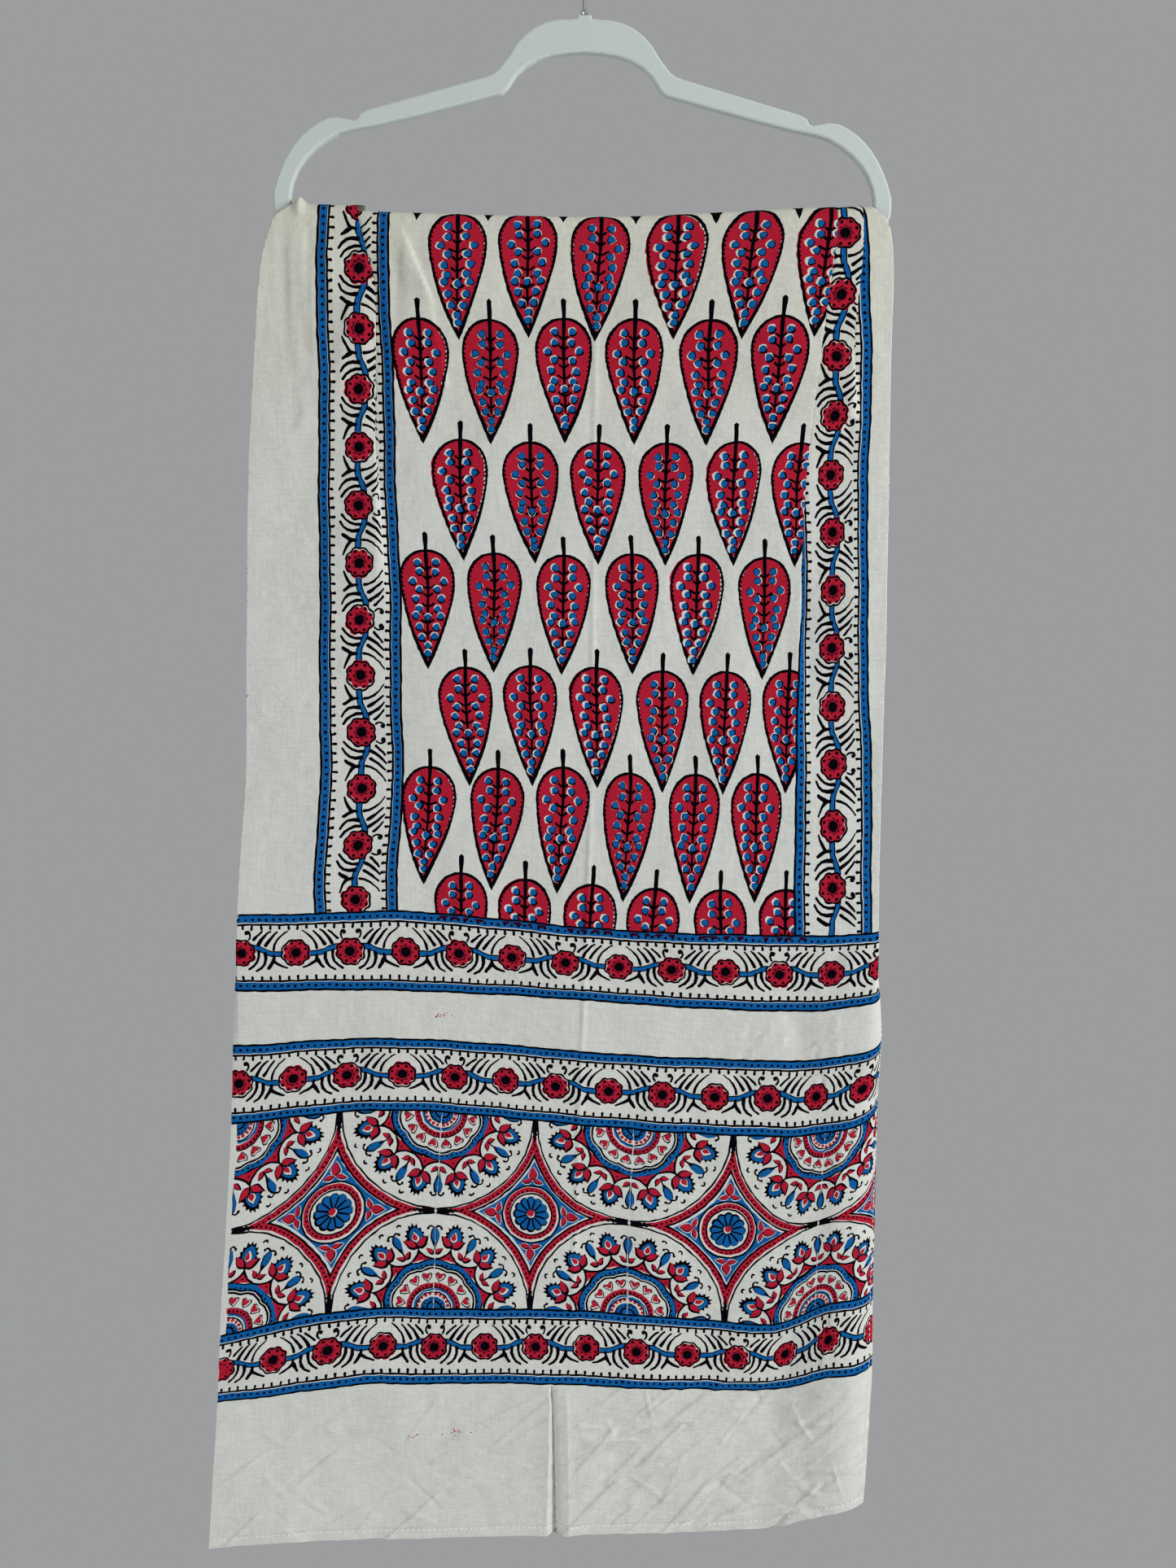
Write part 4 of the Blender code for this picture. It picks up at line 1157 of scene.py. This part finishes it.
class Nodes:
    """A short way to write a material's nodes."""

    def __init__(self, name):
        self.material = bpy.data.materials.new(name)
        self.material.use_nodes = True
        self.tree = self.material.node_tree
        self.shader = self.tree.nodes["Principled BSDF"]

    def add(self, kind, inputs=None, **settings):
        node = self.tree.nodes.new(kind)
        for name, value in settings.items():
            setattr(node, name, value)
        for name, value in (inputs or {}).items():
            self.put(node.inputs[name], value)
        return node

    def put(self, socket, value):
        if isinstance(value, bpy.types.NodeSocket):
            self.tree.links.new(value, socket)
        else:
            socket.default_value = value

    def set(self, **values):
        for name, value in values.items():
            self.put(self.shader.inputs[name.replace("_", " ")], value)

    def noise(self, where, scale, detail=2.0, rough=0.5):
        inputs = {"Vector": where, "Scale": scale, "Detail": detail, "Roughness": rough}
        return self.add("ShaderNodeTexNoise", inputs).outputs["Fac"]

    def stretched(self, where, scale):
        return self.add("ShaderNodeMapping", {"Vector": where, "Scale": scale}).outputs["Vector"]

    def spread(self, value, low, high, new_low=0.0, new_high=1.0):
        limits = {"From Min": low, "From Max": high, "To Min": new_low, "To Max": new_high}
        return self.add("ShaderNodeMapRange", {"Value": value, **limits}).outputs["Result"]

    def math(self, kind, first, second=0.0):
        node = self.add("ShaderNodeMath", operation=kind)
        self.put(node.inputs[0], first)
        self.put(node.inputs[1], second)
        return node.outputs["Value"]

    def mix(self, share, first, second):
        node = self.add("ShaderNodeMix", data_type="RGBA")
        self.put(node.inputs[0], share)
        self.put(node.inputs[6], first)
        self.put(node.inputs[7], second)
        return node.outputs[2]

    def bump(self, height, distance, strength=1.0):
        node = self.add("ShaderNodeBump", {"Height": height, "Distance": distance, "Strength": strength})
        return node.outputs["Normal"]


# The weave along both sides of the flat cloth, and the longer streaks of its slubs, per metre
THREADS_PER_METRE = 2100.0
STREAKS = ((560.0, 50.0, 1.0), (50.0, 560.0, 1.0))
CRINKLES = (75.0, 120.0, 1.0)
THREAD_HIGH, CRINKLE_HIGH = 0.00005, 0.0016


def cotton(name, colour, worn, worn_share, shade_near_bar=None):
    """Cotton whose ink takes unevenly; plain cotton has painted shade near the bar, a darker, warmer tone
    towards the top, and has slubs.
    """
    n = Nodes(name)
    flat = n.add("ShaderNodeUVMap", uv_map="flat").outputs["UV"]
    warp = n.noise(n.stretched(flat, (THREADS_PER_METRE, 60.0, 1.0)), 1.0, 1.0)
    weft = n.noise(n.stretched(flat, (60.0, THREADS_PER_METRE, 1.0)), 1.0, 1.0)
    threads = n.math("ADD", warp, weft)
    patches = n.noise(flat, 900.0, 4.0, 0.7)
    thin = n.spread(n.math("ADD", n.math("MULTIPLY", threads, 0.35), patches), 0.62, 1.08)
    base = n.mix(n.math("MULTIPLY", thin, worn_share), colour, worn)
    if shade_near_bar is not None:
        # Painted shade: the plain cotton is mixed to a darker, warmer tone towards the bar, by height
        place = n.add("ShaderNodeSeparateXYZ", {"Vector": n.add("ShaderNodeTexCoord").outputs["Object"]})
        base = n.mix(n.spread(place.outputs["Z"], -0.42, -0.2), base, shade_near_bar)
        broad = n.noise(flat, 9.0, 3.0)
        base = n.mix(n.spread(broad, 0.35, 0.7, 0.0, 0.10), base, (0.5, 0.5, 0.47, 1.0))
        streaks = n.math("ADD", *(n.noise(n.stretched(flat, size), 1.0, 2.0) for size in STREAKS))
        base = n.mix(n.spread(streaks, 0.8, 1.25, 0.0, 0.24), base, (0.40, 0.41, 0.38, 1.0))
    crinkle = n.noise(n.stretched(flat, CRINKLES), 1.0, 3.0)
    crinkle = n.math("ABSOLUTE", n.math("SUBTRACT", crinkle, 0.5))
    low = n.math("MULTIPLY", threads, THREAD_HIGH)
    relief = n.math("ADD", low, n.math("MULTIPLY", crinkle, CRINKLE_HIGH))
    n.set(Base_Color=base, Roughness=0.95, Normal=n.bump(relief, 1.0, 0.8))
    n.set(Specular_IOR_Level=0.03)
    return n.material


def cloth_materials():
    plain = srgb(217, 219, 214)
    return [
        # The last colour is the painted shade near the bar
        cotton("cotton_plain", plain, srgb(190, 192, 187), 0.65, srgb(207, 207, 193)),
        cotton("cotton_red", srgb(167, 24, 46), srgb(182, 44, 66), 0.35),
        cotton("cotton_blue", srgb(10, 84, 150), srgb(30, 110, 172), 0.3),
        cotton("cotton_black", srgb(3, 2, 6), srgb(22, 18, 28), 0.15),
        cotton("cotton_dark", srgb(40, 3, 26), srgb(80, 12, 44), 0.25),
    ]


def flocked():
    n = Nodes("flock")
    where = n.add("ShaderNodeTexCoord").outputs["Object"]
    fuzz = n.noise(where, 2600.0, 3.0, 0.8)
    cloudy = n.noise(where, 60.0, 3.0)
    base = n.mix(n.spread(fuzz, 0.3, 0.75), srgb(184, 195, 189), srgb(212, 221, 216))
    base = n.mix(n.spread(cloudy, 0.35, 0.7, 0.0, 0.3), base, srgb(198, 207, 202))
    n.set(Base_Color=base, Roughness=0.8, Normal=n.bump(fuzz, 0.00025, 0.7))
    n.set(Specular_IOR_Level=0.3, Sheen_Weight=0.45, Sheen_Roughness=0.35)
    return n.material


def bright_metal():
    n = Nodes("plated")
    where = n.add("ShaderNodeTexCoord").outputs["Object"]
    scuffs = n.noise(n.stretched(where, (300.0, 300.0, 40.0)), 3.0, 4.0)
    n.set(Base_Color=srgb(196, 198, 200), Metallic=1.0, Roughness=n.spread(scuffs, 0.3, 0.7, 0.16, 0.32))
    return n.material


def mesh_piece(name, points, faces, normals, materials, ink=None, flat=None):
    mesh = bpy.data.meshes.new(name)
    mesh.from_pydata(points, [], faces)
    for material in materials:
        mesh.materials.append(material)
    mesh.polygons.foreach_set("use_smooth", np.ones(len(mesh.polygons), bool))
    if ink is not None:
        mesh.polygons.foreach_set("material_index", ink.astype(np.int32))
    if flat is not None:
        layer = mesh.uv_layers.new(name="flat")
        corners = np.empty(len(mesh.loops), np.int32)
        mesh.loops.foreach_get("vertex_index", corners)
        layer.data.foreach_set("uv", (flat[corners] * MM).astype(np.float32).ravel())
    mesh.update()
    if normals is not None:
        mesh.normals_split_custom_set_from_vertices(normals.tolist())
    piece = bpy.data.objects.new(name, mesh)
    bpy.context.scene.collection.objects.link(piece)
    return piece


def grid_faces(rows, columns):
    first = (np.arange(rows - 1)[:, None] * columns + np.arange(columns - 1)[None, :]).ravel()
    return np.stack([first, first + 1, first + columns + 1, first + columns], axis=1)


# The hem's second layer: how far in from the edge each row of points lies, and how far behind
HEM_STEPS, HEM_LIFTS = (0.0, 0.5, 1.5, 3.0, 5.0, 7.0, 8.0), (0.0, 0.45, 0.6, 0.6, 0.6, 0.6, 0.5)


def hem_piece(name, hung, edge, inward, material):
    """The cloth's edge turned up behind it."""
    steps, lift = np.array(HEM_STEPS), np.array(HEM_LIFTS) * MM
    u = np.arange(1.0, CLOTH_WIDE, 2.0)
    flat = np.stack(np.meshgrid(u, edge + inward * steps), axis=2).reshape(-1, 2)
    places, facing = hung.at(flat)
    places = places - facing * np.repeat(lift, len(u))[:, None]
    faces = grid_faces(len(steps), len(u))
    if inward < 0:
        faces = faces[:, ::-1]
    return mesh_piece(name, places, faces, -facing, [material], flat=flat)


# The running stitches: their lines on the flat cloth, their pitch and length, and the thread's half
# thickness at four places along each
STITCH_LINES = (
    ((2, FRONT_LONG - 7), (CLOTH_WIDE - 2, FRONT_LONG - 7.4)),
    ((2, -BACK_LONG + 7), (CLOTH_WIDE - 2, -BACK_LONG + 7.4)),
    ((CLOTH_WIDE - 5, 560), (CLOTH_WIDE - 5, FRONT_LONG - 4)),
)
STITCH_PITCH, STITCH_LONG = 4.3, 2.6
STITCH_PLACES, STITCH_THICK = (0.0, 0.25, 0.75, 1.0), (0.12, 0.34, 0.34, 0.12)


def stitch_piece(name, hung, material):
    """Running stitches of white thread: a short raised bead every few millimetres along each line."""
    points, faces = [], []
    ring = [(cos(a), sin(a)) for a in np.arange(6) * pi / 3]
    for start, stop in STITCH_LINES:
        start, stop = np.asarray(start, float), np.asarray(stop, float)
        run = (stop - start) / np.linalg.norm(stop - start)
        count = int(np.linalg.norm(stop - start) / STITCH_PITCH)
        for i in range(count):
            ends = [start + run * (i * STITCH_PITCH + STITCH_LONG * t) for t in STITCH_PLACES]
            ends = np.stack(ends)
            places, facing = hung.at(ends)
            along = (places[-1] - places[0]) / np.linalg.norm(places[-1] - places[0])
            side = np.cross(along, facing[0])
            first = len(points)
            for place, face, thick in zip(places, facing, STITCH_THICK):
                points += [place + (side * c + face * (d + 0.4)) * thick * MM for c, d in ring]
            for k in range(3):
                for j in range(6):
                    a, b = first + 6 * k + j, first + 6 * k + (j + 1) % 6
                    faces.append((a, b, b + 6, a + 6))
    return mesh_piece(name, points, faces, None, [material])


def build_cloth(materials):
    hung = HungCloth()
    flat, triangles, inks = cut_sheet(draw_print())
    middle = flat[triangles].mean(axis=1)[:, 1]
    pieces = []
    for name, low, high in SECTIONS:
        mine = (middle > low) & (middle < high)
        used, local = np.unique(triangles[mine], return_inverse=True)
        places, facing = hung.at(flat[used])
        local = local.reshape(-1, 3)[:, ::-1]
        piece = mesh_piece(name, places, local, facing, materials, inks[mine], flat[used])
        pieces.append((piece, high - low))
    plain = materials[0]
    hem_front = hem_piece("hem_front", hung, FRONT_LONG, -1.0, plain)
    hem_back = hem_piece("hem_back", hung, -BACK_LONG, 1.0, plain)
    thread = cotton("thread", srgb(236, 235, 230), srgb(220, 219, 212), 0.5)
    stitches = stitch_piece("hem_stitches", hung, thread)
    for piece in (*(piece for piece, _ in pieces), hem_front, hem_back, stitches):
        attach(piece, "root")
        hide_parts("cloth")


def aim_camera():
    data = bpy.data.cameras.new("camera")
    data.sensor_fit = "VERTICAL"
    data.angle = 2 * atan(PICTURE_TALL / 2 / FOCAL_PX)
    data.clip_start = 0.05
    camera = bpy.data.objects.new("camera", data)
    camera.location = CAMERA_PLACE
    camera.rotation_euler = (pi / 2 - CAMERA_PITCH, 0.0, 0.0)
    bpy.context.scene.collection.objects.link(camera)
    bpy.context.scene.camera = camera


def area_light(name, place, target, size, power, colour):
    data = bpy.data.lights.new(name, "AREA")
    data.shape = "RECTANGLE"
    data.size, data.size_y = size
    data.energy = power
    data.color = colour
    light = bpy.data.objects.new(name, data)
    light.location = place
    light.rotation_euler = (Vector(target) - Vector(place)).to_track_quat("-Z", "Y").to_euler()
    bpy.context.scene.collection.objects.link(light)


WORLD_GREY, WORLD_STRENGTH = (0.74, 0.75, 0.76, 1.0), 0.45


def light_scene():
    area_light("key", (2.7, -1.35, 0.25), (0.0, 0.0, -0.7), (1.0, 1.0), 88.0, (1.0, 0.99, 0.975))
    area_light("fill", (-1.3, -1.6, -1.35), (0.0, 0.0, -1.15), (1.6, 1.2), 12.0, (0.97, 0.985, 1.0))
    world = bpy.data.worlds.new("surroundings")
    world.use_nodes = True
    background = world.node_tree.nodes["Background"].inputs
    background["Color"].default_value = WORLD_GREY
    background["Strength"].default_value = WORLD_STRENGTH
    bpy.context.scene.world = world
    bpy.context.scene.view_settings.view_transform = "Standard"


def lay_floor():
    size, low = 0.78, -1.95
    corners = [(-size, -size, low), (size, -size, low), (size, size, low), (-size, size, low)]
    mesh = bpy.data.meshes.new("floor")
    mesh.from_pydata(corners, [], [(0, 1, 2, 3)])
    n = Nodes("floor")
    n.set(Base_Color=(0.8, 0.8, 0.79, 1.0), Roughness=0.95, Specular_IOR_Level=0.0)
    mesh.materials.append(n.material)
    floor = bpy.data.objects.new("floor", mesh)
    bpy.context.scene.collection.objects.link(floor)


def dress_hanger():
    for name, material in (("hanger", flocked()), ("hook", bright_metal()), ("collar", bright_metal())):
        node = bpy.data.objects[name]
        for slot in node.material_slots:
            slot.material = material


build_cloth(cloth_materials())
dress_hanger()
aim_camera()
light_scene()
lay_floor()

bpy.context.view_layer.update()
